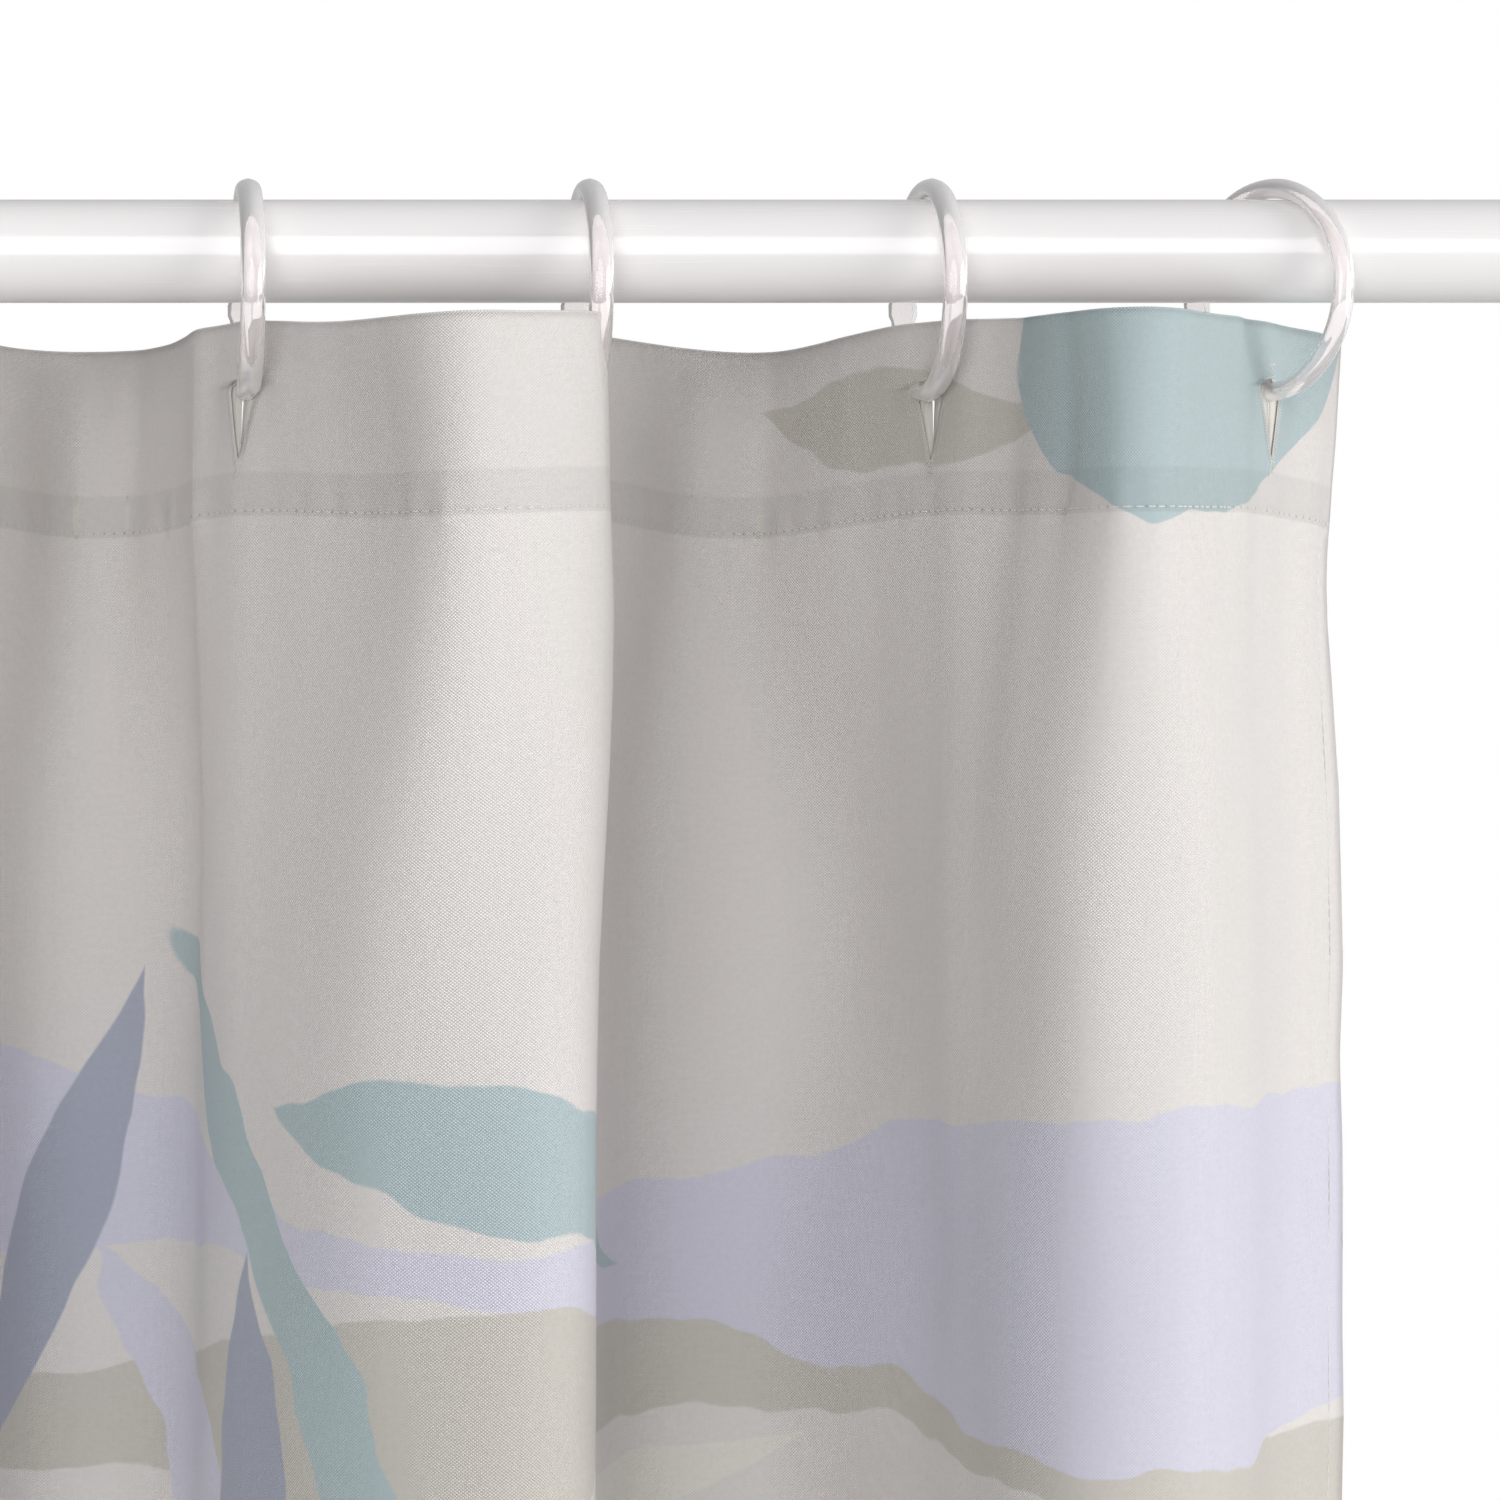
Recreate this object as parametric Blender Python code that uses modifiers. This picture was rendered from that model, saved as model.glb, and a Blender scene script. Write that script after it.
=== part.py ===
"""Shower curtain: a hemmed, printed cloth on twelve snap rings, hung from a telescopic tension rod.

Metres, +Z up. The origin is the middle of the right foot's wall face, the rod runs from it along -X,
and the side that faces into the room is -Y. Run with: blender --background --python part.py
"""

import math

import bmesh
import bpy

# Rod
ROD_LENGTH = 1.500
OUTER_TUBE_DIAMETER = 0.0254
OUTER_TUBE_PAST_RINGS = 0.0636
TUBE_CLEARANCE = 0.0007
INNER_TUBE_LENGTH = 0.800
TUBE_WALL = 0.0009
TUBE_SIDES = 40

# Wall feet
PAD_OVER_CAP = 0.002
PAD_THICKNESS = 0.005
CAP_LENGTH = 0.024
CAP_FLANGE = 0.006
CAP_FLANGE_OUT = 0.0048
CAP_WALL = 0.0022
CAP_SOCKET = 0.017

# Collar that closes the outer tube round the inner one
COLLAR_LENGTH = 0.014
COLLAR_OVERLAP = 0.009
COLLAR_WALL = 0.0014

# Twist lock inside the outer tube, at the buried end of the inner tube
PLUG_INSERT = 0.020
PLUG_HEAD = 0.004
LOCK_SCREW_DIAMETER = 0.008
LOCK_SCREW_LENGTH = 0.060
EXPANDER_LENGTH = 0.024
EXPANDER_STANDOFF = 0.008

# Rings
RING_COUNT = 12
RING_ROOM = 0.020
RING_WIRE = 0.0063
RING_PITCH = 0.084
FIRST_RING_FROM_WALL = 0.135
RING_SNAP_GAP = 0.0008
RING_POINTS = 24
END_RING_TURN = math.radians(40.0)
RUN_RING_TURN = math.radians(9.0)
TURN_FADE = 0.5

# Cloth, cut flat
CLOTH_WIDTH = 1.800
CLOTH_LENGTH = 1.880
CLOTH_THICKNESS = 0.0005
EDGE_TO_BUTTONHOLE = 0.038
TOP_HEM_DEPTH = 0.048
TOP_HEM_ALLOWANCE = 0.011
BOTTOM_HEM_DEPTH = 0.025
SIDE_HEM_WIDTH = 0.009
STITCH_TO_HEM_EDGE = 0.0015
THREAD_WIDTH = 0.0006
THREAD_THICKNESS = 0.0004

# Buttonholes
BUTTONHOLE_BELOW_TOP = 0.0140
SLIT_LENGTH = 0.020
SLIT_SIDE_CLEARANCE = 0.0006
SLIT_TOP_CLEARANCE = 0.0008
BUTTONHOLE_WIDTH = 0.0200
BUTTONHOLE_END = 0.0035
BUTTONHOLE_THICKNESS = 0.0005

# How the folds stand: they ease flat at each ring, and a fold has this many facets
RING_EASE = 0.20
FACETS_PER_PITCH = 8

# Chamfer on moulded edges
EDGE_BREAK = 0.0012

# Gap kept between pieces that touch
GAP = 0.0003

WHITE_ENAMEL = ("white_enamel", (0.86, 0.86, 0.85), 0.18, 0.0)
WHITE_PLASTIC = ("white_plastic", (0.84, 0.84, 0.83), 0.35, 0.0)
GREY_RUBBER = ("grey_rubber", (0.55, 0.55, 0.54), 0.75, 0.0)
ZINC_STEEL = ("zinc_steel", (0.62, 0.62, 0.60), 0.35, 1.0)
CLEAR_PLASTIC = ("clear_plastic", (0.90, 0.87, 0.86), 0.08, 0.0)
PRINTED_CLOTH = ("printed_cloth", (0.80, 0.78, 0.74), 0.85, 0.0)
SEWING_THREAD = ("sewing_thread", (0.88, 0.87, 0.85), 0.70, 0.0)


def empty_scene():
    """Removes every object of the scene that the script starts in."""
    for old in list(bpy.data.objects):
        bpy.data.objects.remove(old, do_unlink=True)


def new_collection(name):
    """Returns a new collection, linked to the scene."""
    made = bpy.data.collections.new(name)
    bpy.context.scene.collection.children.link(made)
    return made


def finish(spec):
    """Returns the Principled material of a finish, made once."""
    name, colour, roughness, metallic = spec
    if name in bpy.data.materials:
        return bpy.data.materials[name]
    made = bpy.data.materials.new(name)
    made.use_nodes = True
    shader = made.node_tree.nodes["Principled BSDF"]
    shader.inputs["Base Color"].default_value = (*colour, 1.0)
    shader.inputs["Roughness"].default_value = roughness
    shader.inputs["Metallic"].default_value = metallic
    return made


def add_piece(name, data, spec, collection):
    """Links mesh or curve data into the collection as one named piece."""
    piece = bpy.data.objects.new(name, data)
    data.materials.append(finish(spec))
    collection.objects.link(piece)
    return piece


def turned(name, profile, spec, collection, sides=TUBE_SIDES, closed=True):
    """Turns a profile of (x along the rod, radius) about the rod's axis.

    The profile runs from the piece's +X end along its outer side, and back inside it when it is closed.
    """
    mesh = bpy.data.meshes.new(name)
    points = [(radius, 0.0, x) for x, radius in profile]
    edges = [(i, i + 1) for i in range(len(points) - 1)]
    if closed:
        edges.append((len(points) - 1, 0))
    mesh.from_pydata(points, edges, [])
    piece = add_piece(name, mesh, spec, collection)
    piece.rotation_euler = (0.0, math.pi / 2, 0.0)
    screw = piece.modifiers.new("Turn", "SCREW")
    screw.axis = "Z"
    screw.steps = sides
    screw.render_steps = sides
    screw.use_merge_vertices = True
    screw.merge_threshold = 0.00001
    screw.use_smooth_shade = True
    return piece


def tube(name, x_right, x_left, diameter, wall, spec, collection):
    """A plain tube along the rod's axis."""
    outer, inner = diameter / 2, diameter / 2 - wall
    profile = [(x_right, outer), (x_left, outer), (x_left, inner), (x_right, inner)]
    return turned(name, profile, spec, collection)


# Sizes that follow from what they fit
INNER_TUBE_DIAMETER = OUTER_TUBE_DIAMETER - 2 * (TUBE_WALL + TUBE_CLEARANCE)
CAP_DIAMETER = OUTER_TUBE_DIAMETER + 2 * (GAP + CAP_WALL + CAP_FLANGE_OUT)
PAD_DIAMETER = CAP_DIAMETER + 2 * PAD_OVER_CAP
RING_DIAMETER = OUTER_TUBE_DIAMETER + RING_ROOM + 2 * RING_WIRE
SLIT_WIDTH = RING_WIRE + 2 * SLIT_SIDE_CLEARANCE

# Places along the rod, from the right foot's wall face at x = 0
CAP_START = PAD_THICKNESS + GAP
SOCKET_FLOOR = CAP_START + CAP_LENGTH - CAP_SOCKET
TUBE_END = SOCKET_FLOOR + GAP
OUTER_TUBE_LEFT = -(FIRST_RING_FROM_WALL + (RING_COUNT - 1) * RING_PITCH + OUTER_TUBE_PAST_RINGS)
INNER_TUBE_LEFT = -(ROD_LENGTH - TUBE_END)
INNER_TUBE_RIGHT = INNER_TUBE_LEFT + INNER_TUBE_LENGTH


def foot_cap(name, tube_diameter, side, collection):
    """A flanged cup that the tube's end stands in. side is +1 at the right wall and -1 at the left."""
    socket = tube_diameter / 2 + GAP
    sleeve = socket + CAP_WALL
    back, floor, mouth = CAP_START, SOCKET_FLOOR, CAP_START + CAP_LENGTH
    flange = back + CAP_FLANGE
    outline = [
        (back, 0.0),
        (back, CAP_DIAMETER / 2 - EDGE_BREAK),
        (back + EDGE_BREAK, CAP_DIAMETER / 2),
        (flange, CAP_DIAMETER / 2),
        (flange + CAP_WALL, sleeve + CAP_WALL),
        (mouth - EDGE_BREAK, sleeve),
        (mouth, sleeve - EDGE_BREAK / 2),
        (mouth, socket),
        (floor, socket),
        (floor, 0.0),
    ]
    return turned(name, at_wall(outline, side), WHITE_PLASTIC, collection, closed=False)


def foot_pad(name, side, collection):
    """The rubber disc between a foot's cap and the wall."""
    radius = PAD_DIAMETER / 2
    outline = [
        (0.0, 0.0),
        (0.0, radius - EDGE_BREAK),
        (EDGE_BREAK, radius),
        (PAD_THICKNESS - EDGE_BREAK, radius),
        (PAD_THICKNESS, radius - EDGE_BREAK),
        (PAD_THICKNESS, 0.0),
    ]
    return turned(name, at_wall(outline, side), GREY_RUBBER, collection, closed=False)


def at_wall(outline, side):
    """Places an outline of (distance from the wall, radius) at one wall, running from its +X end."""
    if side > 0:
        return [(-away, radius) for away, radius in outline]
    return [(away - ROD_LENGTH, radius) for away, radius in reversed(outline)]


def build_rod(collection):
    """The two tubes, the collar between them, the twist lock inside and a foot at each wall."""
    tube("outer_tube", -TUBE_END, OUTER_TUBE_LEFT, OUTER_TUBE_DIAMETER, TUBE_WALL, WHITE_ENAMEL, collection)
    right, left = INNER_TUBE_RIGHT, INNER_TUBE_LEFT
    tube("inner_tube", right, left, INNER_TUBE_DIAMETER, TUBE_WALL, WHITE_ENAMEL, collection)
    foot_cap("right_foot_cap", OUTER_TUBE_DIAMETER, 1, collection)
    foot_pad("right_foot_pad", 1, collection)
    foot_cap("left_foot_cap", INNER_TUBE_DIAMETER, -1, collection)
    foot_pad("left_foot_pad", -1, collection)

    over_tube = OUTER_TUBE_DIAMETER / 2 + GAP
    over_inner = INNER_TUBE_DIAMETER / 2 + GAP
    shell = over_tube + COLLAR_WALL
    right = OUTER_TUBE_LEFT + COLLAR_OVERLAP
    lip = OUTER_TUBE_LEFT - GAP
    left = right - COLLAR_LENGTH
    collar = [
        (right, shell - COLLAR_WALL / 2),
        (right - COLLAR_WALL, shell),
        (left + COLLAR_WALL, shell),
        (left, shell - COLLAR_WALL),
        (left, over_inner),
        (lip, over_inner),
        (lip, over_tube),
        (right, over_tube),
    ]
    turned("tube_collar", collar, WHITE_PLASTIC, collection)

    bore = INNER_TUBE_DIAMETER / 2 - TUBE_WALL - GAP
    screw_hole = LOCK_SCREW_DIAMETER / 2 + GAP
    head = INNER_TUBE_RIGHT + PLUG_HEAD + GAP
    plug = [
        (head, INNER_TUBE_DIAMETER / 2),
        (INNER_TUBE_RIGHT + GAP, INNER_TUBE_DIAMETER / 2),
        (INNER_TUBE_RIGHT + GAP, bore),
        (INNER_TUBE_RIGHT - PLUG_INSERT, bore),
        (INNER_TUBE_RIGHT - PLUG_INSERT, screw_hole),
        (head, screw_hole),
    ]
    turned("lock_plug", plug, WHITE_PLASTIC, collection)

    screw_left = INNER_TUBE_RIGHT - PLUG_INSERT
    screw_right = screw_left + LOCK_SCREW_LENGTH
    radius = LOCK_SCREW_DIAMETER / 2
    stem = [
        (screw_right, 0.0),
        (screw_right, radius - EDGE_BREAK),
        (screw_right - EDGE_BREAK, radius),
        (screw_left, radius),
        (screw_left, 0.0),
    ]
    turned("lock_screw", stem, ZINC_STEEL, collection, sides=24, closed=False)

    grip = OUTER_TUBE_DIAMETER / 2 - TUBE_WALL - GAP
    near = head + EXPANDER_STANDOFF
    far = near + EXPANDER_LENGTH
    waist = (grip + screw_hole) / 2
    expander = [
        (far, waist),
        (far - EXPANDER_LENGTH / 4, grip),
        (near + EXPANDER_LENGTH / 4, grip),
        (near, waist),
        (near, screw_hole),
        (far, screw_hole),
    ]
    turned("lock_expander", expander, GREY_RUBBER, collection)


# Ring places. The first ring is the one nearest to the right wall.
RING_RADIUS = (RING_DIAMETER - RING_WIRE) / 2
RING_CENTRE_Z = OUTER_TUBE_DIAMETER / 2 + GAP - (RING_DIAMETER / 2 - RING_WIRE)
WIRE_TOP_Z = RING_CENTRE_Z - RING_RADIUS + RING_WIRE / 2


def ring_x(index):
    """Where a ring hangs along the rod."""
    return -FIRST_RING_FROM_WALL - index * RING_PITCH


def ring_turn(index):
    """How far a ring is turned about +Z. The end ring is pulled round most."""
    return RUN_RING_TURN + (END_RING_TURN - RUN_RING_TURN) * math.exp(-index / TURN_FADE)


def build_ring(index, collection):
    """A snap ring: a round wire bent into a circle, with its closing gap at the back."""
    name = f"ring_{index + 1:02d}"
    curve = bpy.data.curves.new(name, "CURVE")
    curve.dimensions = "3D"
    curve.bevel_depth = RING_WIRE / 2
    curve.bevel_resolution = 2
    curve.use_fill_caps = True
    spline = curve.splines.new("POLY")
    spline.points.add(RING_POINTS - 1)
    gap_angle = RING_SNAP_GAP / RING_RADIUS
    for i, point in enumerate(spline.points):
        angle = gap_angle / 2 + (2 * math.pi - gap_angle) * i / (RING_POINTS - 1)
        point.co = (0.0, RING_RADIUS * math.cos(angle), RING_RADIUS * math.sin(angle), 1.0)
    piece = add_piece(name, curve, CLEAR_PLASTIC, collection)
    piece.location = (ring_x(index), 0.0, RING_CENTRE_Z)
    piece.rotation_euler = (0.0, 0.0, ring_turn(index))
    return piece


# Folds. A place along the cloth is given in ring pitches from the first ring, counted towards -X.
FLAT_PITCH = (CLOTH_WIDTH - 2 * EDGE_TO_BUTTONHOLE) / (RING_COUNT - 1)
FOLD_STEPS = 400


def fold_shape(pitches):
    """The depth of a fold of unit size: forward between rings 1 and 2, back between rings 2 and 3."""
    return -(math.sin(math.pi * pitches) - RING_EASE * math.sin(3 * math.pi * pitches))


def run_length(depth, start, end):
    """The length of cloth between two places, for folds of this depth."""
    steps = max(2, int(FOLD_STEPS * abs(end - start)))
    total = 0.0
    previous = depth * fold_shape(start)
    for i in range(1, steps + 1):
        here = depth * fold_shape(start + (end - start) * i / steps)
        total += math.hypot(RING_PITCH * (end - start) / steps, here - previous)
        previous = here
    return total


def halving(low, high, too_small):
    """The value between low and high at which too_small turns false."""
    for _ in range(40):
        middle = (low + high) / 2
        if too_small(middle):
            low = middle
        else:
            high = middle
    return (low + high) / 2


# The cloth between two rings is longer than their pitch, and the folds are as deep as takes it up
FOLD_DEPTH = halving(0.0, FLAT_PITCH, lambda depth: run_length(depth, 0.0, 1.0) < FLAT_PITCH)


def place_of(from_ring, index=0):
    """The place, in pitches, that lies this length of cloth from a ring."""
    side = 1 if from_ring >= 0 else -1

    def too_near(pitches):
        return run_length(FOLD_DEPTH, index, index + side * pitches) < abs(from_ring)

    return index + side * halving(0.0, 1.0, too_near)


def front_normal(facet):
    """The plan direction in which one flat facet of the folds looks out, into the room."""
    start, end = facet / FACETS_PER_PITCH, (facet + 1) / FACETS_PER_PITCH
    along_x = -RING_PITCH * (end - start)
    along_y = FOLD_DEPTH * (fold_shape(end) - fold_shape(start))
    size = math.hypot(along_x, along_y)
    return -along_y / size, along_x / size


def fold_corner(facet, forward):
    """The plan position of a facet's first corner, on the layer that lies this far out of the cloth."""
    place = facet / FACETS_PER_PITCH
    before, after = front_normal(facet - 1), front_normal(facet)
    mitre = forward / (1 + before[0] * after[0] + before[1] * after[1])
    x = ring_x(0) - RING_PITCH * place + (before[0] + after[0]) * mitre
    y = FOLD_DEPTH * fold_shape(place) + (before[1] + after[1]) * mitre
    return x, y


def cloth_point(place, forward):
    """The plan position of a place on the cloth, on the layer that lies this far out of it."""
    facet = math.floor(place * FACETS_PER_PITCH)
    share = place * FACETS_PER_PITCH - facet
    start, end = fold_corner(facet, forward), fold_corner(facet + 1, forward)
    return start[0] + (end[0] - start[0]) * share, start[1] + (end[1] - start[1]) * share


CLOTH_RIGHT = place_of(-EDGE_TO_BUTTONHOLE)
CLOTH_LEFT = place_of(EDGE_TO_BUTTONHOLE, RING_COUNT - 1)
SLIT_TOP_Z = WIRE_TOP_Z + SLIT_TOP_CLEARANCE
SLIT_BOTTOM_Z = SLIT_TOP_Z - SLIT_LENGTH
CLOTH_TOP_Z = SLIT_TOP_Z + BUTTONHOLE_BELOW_TOP
CLOTH_BOTTOM_Z = CLOTH_TOP_Z - CLOTH_LENGTH
TOP_STITCH_Z = CLOTH_TOP_Z - TOP_HEM_DEPTH + STITCH_TO_HEM_EDGE
BOTTOM_STITCH_Z = CLOTH_BOTTOM_Z + BOTTOM_HEM_DEPTH - STITCH_TO_HEM_EDGE

# Layers of cloth, as distances out of the middle of the front layer
LAYER = CLOTH_THICKNESS + GAP
ON_FRONT = CLOTH_THICKNESS / 2 + GAP


def cloth_sheet(name, start, end, rows, thickness, spec, collection):
    """A sheet that follows the folds from one place to another.

    rows are (height, distance out of the front layer), and the sheet runs through them in order.
    """
    places = [start]
    for facet in range(math.ceil(start * FACETS_PER_PITCH), math.floor(end * FACETS_PER_PITCH) + 1):
        place = facet / FACETS_PER_PITCH
        if start + 0.01 < place < end - 0.01:
            places.append(place)
    places.append(end)
    points = []
    for z, forward in rows:
        points += [(*cloth_point(place, forward), z) for place in places]
    across = len(places)
    faces = []
    for row in range(len(rows) - 1):
        for i in range(across - 1):
            a = row * across + i
            faces.append((a, a + 1, a + across + 1, a + across))
    mesh = bpy.data.meshes.new(name)
    mesh.from_pydata(points, [], faces)
    piece = add_piece(name, mesh, spec, collection)
    shell = piece.modifiers.new("Thickness", "SOLIDIFY")
    shell.thickness = thickness
    shell.offset = 0.0
    shell.use_even_offset = True
    return piece


def slit_cutter(collection):
    """One slot through the cloth for each ring, in line with that ring's wire."""
    mesh = bpy.data.meshes.new("slit_cutter")
    cutter = bmesh.new()
    height = SLIT_LENGTH
    depth = BUTTONHOLE_WIDTH
    for index in range(RING_COUNT):
        made = bmesh.ops.create_cube(cutter, size=1.0)["verts"]
        bmesh.ops.scale(cutter, vec=(SLIT_WIDTH, depth, height), verts=made)
        turn = ring_turn(index)
        for vert in made:
            x, y = vert.co.x, vert.co.y
            vert.co.x = ring_x(index) + x * math.cos(turn) - y * math.sin(turn)
            vert.co.y = x * math.sin(turn) + y * math.cos(turn)
            vert.co.z += SLIT_TOP_Z - height / 2
    cutter.to_mesh(mesh)
    cutter.free()
    piece = bpy.data.objects.new("slit_cutter", mesh)
    piece.hide_render = True
    piece.display_type = "WIRE"
    collection.objects.link(piece)
    return piece


def cut_slits(piece, cutter):
    """Cuts the buttonhole slots out of a piece of cloth."""
    cut = piece.modifiers.new("Slits", "BOOLEAN")
    cut.operation = "DIFFERENCE"
    cut.object = cutter


def build_cloth(collection, cutters):
    """The printed panel with its hems, seams and buttonholes."""
    cutter = slit_cutter(cutters)
    thick = CLOTH_THICKNESS

    rows = [(CLOTH_BOTTOM_Z, 0.0), (TOP_STITCH_Z, 0.0), (CLOTH_TOP_Z, 0.0)]
    panel = cloth_sheet("curtain_panel", CLOTH_RIGHT, CLOTH_LEFT, rows, thick, PRINTED_CLOTH, collection)
    cut_slits(panel, cutter)

    hem_edge = CLOTH_TOP_Z - TOP_HEM_DEPTH
    rows = [(hem_edge, -LAYER), (hem_edge + TOP_HEM_ALLOWANCE, -LAYER)]
    cloth_sheet("top_hem_allowance", CLOTH_RIGHT, CLOTH_LEFT, rows, thick, PRINTED_CLOTH, collection)

    crown = CLOTH_TOP_Z + LAYER
    rows = [(hem_edge, -2 * LAYER), (crown, -2 * LAYER), (crown, 0.0)]
    hem = cloth_sheet("top_hem", CLOTH_RIGHT, CLOTH_LEFT, rows, thick, PRINTED_CLOTH, collection)
    cut_slits(hem, cutter)

    heel = CLOTH_BOTTOM_Z - LAYER
    rows = [(CLOTH_BOTTOM_Z + BOTTOM_HEM_DEPTH, -LAYER), (heel, -LAYER), (heel, 0.0)]
    cloth_sheet("bottom_hem", CLOTH_RIGHT, CLOTH_LEFT, rows, thick, PRINTED_CLOTH, collection)

    low = CLOTH_BOTTOM_Z + BOTTOM_HEM_DEPTH + CLOTH_THICKNESS + GAP
    high = hem_edge - CLOTH_THICKNESS - GAP
    inner_right = place_of(SIDE_HEM_WIDTH - EDGE_TO_BUTTONHOLE)
    inner_left = place_of(EDGE_TO_BUTTONHOLE - SIDE_HEM_WIDTH, RING_COUNT - 1)
    rows = [(low, -LAYER), (high, -LAYER)]
    cloth_sheet("right_side_hem", CLOTH_RIGHT, inner_right, rows, thick, PRINTED_CLOTH, collection)
    cloth_sheet("left_side_hem", inner_left, CLOTH_LEFT, rows, thick, PRINTED_CLOTH, collection)

    proud = ON_FRONT + THREAD_THICKNESS / 2
    for name, z in (("top_hem_thread", TOP_STITCH_Z), ("bottom_hem_thread", BOTTOM_STITCH_Z)):
        rows = [(z - THREAD_WIDTH / 2, proud), (z + THREAD_WIDTH / 2, proud)]
        cloth_sheet(name, CLOTH_RIGHT, CLOTH_LEFT, rows, THREAD_THICKNESS, SEWING_THREAD, collection)

    inset = SIDE_HEM_WIDTH - STITCH_TO_HEM_EDGE
    rows = [(BOTTOM_STITCH_Z + THREAD_WIDTH, proud), (TOP_STITCH_Z - THREAD_WIDTH, proud)]
    start = place_of(inset - EDGE_TO_BUTTONHOLE)
    end = place_of(inset - EDGE_TO_BUTTONHOLE + THREAD_WIDTH)
    cloth_sheet("right_hem_thread", start, end, rows, THREAD_THICKNESS, SEWING_THREAD, collection)
    last = RING_COUNT - 1
    start = place_of(EDGE_TO_BUTTONHOLE - inset - THREAD_WIDTH, last)
    end = place_of(EDGE_TO_BUTTONHOLE - inset, last)
    cloth_sheet("left_hem_thread", start, end, rows, THREAD_THICKNESS, SEWING_THREAD, collection)

    proud = ON_FRONT + BUTTONHOLE_THICKNESS / 2
    rows = [(SLIT_BOTTOM_Z - BUTTONHOLE_END, proud), (SLIT_TOP_Z + BUTTONHOLE_END, proud)]
    for index in range(RING_COUNT):
        start = place_of(-BUTTONHOLE_WIDTH / 2, index)
        end = place_of(BUTTONHOLE_WIDTH / 2, index)
        name = f"buttonhole_{index + 1:02d}"
        piece = cloth_sheet(name, start, end, rows, BUTTONHOLE_THICKNESS, SEWING_THREAD, collection)
        cut_slits(piece, cutter)


def main():
    """Builds the whole curtain."""
    empty_scene()
    parts = new_collection("shower_curtain")
    cutters = new_collection("cutters")
    build_rod(parts)
    for index in range(RING_COUNT):
        build_ring(index, parts)
    build_cloth(parts, cutters)


main()
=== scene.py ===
"""A printed shower curtain on clear snap rings and a white telescopic rod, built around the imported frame.

The cloth is cut flat, gathered on its rings by a cloth simulation, and every hem, seam and buttonhole is
then laid out on the flat cut and carried onto the draped surface. Metres, +Z up, -Y faces the room.
"""

import logging
import math
from dataclasses import dataclass, field
from enum import Enum
from typing import Sequence

import bpy
import numpy as np
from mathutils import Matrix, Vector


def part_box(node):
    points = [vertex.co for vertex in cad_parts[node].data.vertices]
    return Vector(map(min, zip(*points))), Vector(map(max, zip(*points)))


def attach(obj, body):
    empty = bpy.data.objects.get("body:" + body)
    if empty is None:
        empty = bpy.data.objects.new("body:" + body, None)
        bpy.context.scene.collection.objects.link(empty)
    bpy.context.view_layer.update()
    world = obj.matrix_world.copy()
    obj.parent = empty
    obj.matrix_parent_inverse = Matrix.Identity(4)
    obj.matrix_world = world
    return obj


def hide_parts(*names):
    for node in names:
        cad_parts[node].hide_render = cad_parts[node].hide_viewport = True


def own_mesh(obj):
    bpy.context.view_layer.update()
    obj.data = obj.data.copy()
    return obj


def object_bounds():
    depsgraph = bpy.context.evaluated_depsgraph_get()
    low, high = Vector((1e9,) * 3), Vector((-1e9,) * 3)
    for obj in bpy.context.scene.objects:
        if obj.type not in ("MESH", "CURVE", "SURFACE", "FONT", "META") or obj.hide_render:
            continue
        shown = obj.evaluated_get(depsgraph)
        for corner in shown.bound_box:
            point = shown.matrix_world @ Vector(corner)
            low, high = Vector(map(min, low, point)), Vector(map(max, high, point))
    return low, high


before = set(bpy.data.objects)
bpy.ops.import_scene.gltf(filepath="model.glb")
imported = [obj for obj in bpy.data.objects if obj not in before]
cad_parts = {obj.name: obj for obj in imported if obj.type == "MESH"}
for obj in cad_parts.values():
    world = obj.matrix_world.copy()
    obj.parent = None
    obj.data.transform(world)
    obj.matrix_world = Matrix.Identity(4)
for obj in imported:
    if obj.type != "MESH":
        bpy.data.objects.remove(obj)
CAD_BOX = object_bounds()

LOG = logging.getLogger("shower_curtain")
SEED = 12
TUBE_WALL = 0.0009
SENSOR_WIDTH = 36.0


# ---------------------------------------------------------------------------------------------- helpers


def box_of(node: str) -> tuple[np.ndarray, np.ndarray]:
    """Returns a CAD node's lowest and highest corners."""
    low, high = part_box(node)
    return np.array(low, float), np.array(high, float)


def smooth_step(value: np.ndarray) -> np.ndarray:
    """Eases a value from 0 to 1, level at both ends."""
    share = np.clip(value, 0.0, 1.0)
    return share * share * (3.0 - 2.0 * share)


def make_piece(name: str, points: np.ndarray, faces: Sequence[Sequence[int]],
               flat: np.ndarray | None = None, slots: Sequence[int] | None = None) -> bpy.types.Object:
    """Makes a smooth mesh object at the origin.

    Args:
        name: the piece's name.
        points: its vertices, one row each.
        faces: vertex numbers of each face.
        flat: where each vertex lies on the flat cloth, kept as the UV map "cut".
        slots: the material slot of each face.

    Returns:
        The linked object.
    """
    mesh = bpy.data.meshes.new(name)
    mesh.from_pydata(np.asarray(points, float).tolist(), [], [list(face) for face in faces])
    mesh.polygons.foreach_set("use_smooth", [True] * len(mesh.polygons))
    if flat is not None:
        corners = np.empty(len(mesh.loops), dtype=np.int32)
        mesh.loops.foreach_get("vertex_index", corners)
        uv = mesh.uv_layers.new(name="cut")
        uv.data.foreach_set("uv", flat[corners].astype(np.float32).ravel())
    if slots is not None:
        mesh.polygons.foreach_set("material_index", np.asarray(slots, np.int32))
    mesh.update()
    piece = bpy.data.objects.new(name, mesh)
    bpy.context.scene.collection.objects.link(piece)
    return piece


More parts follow.
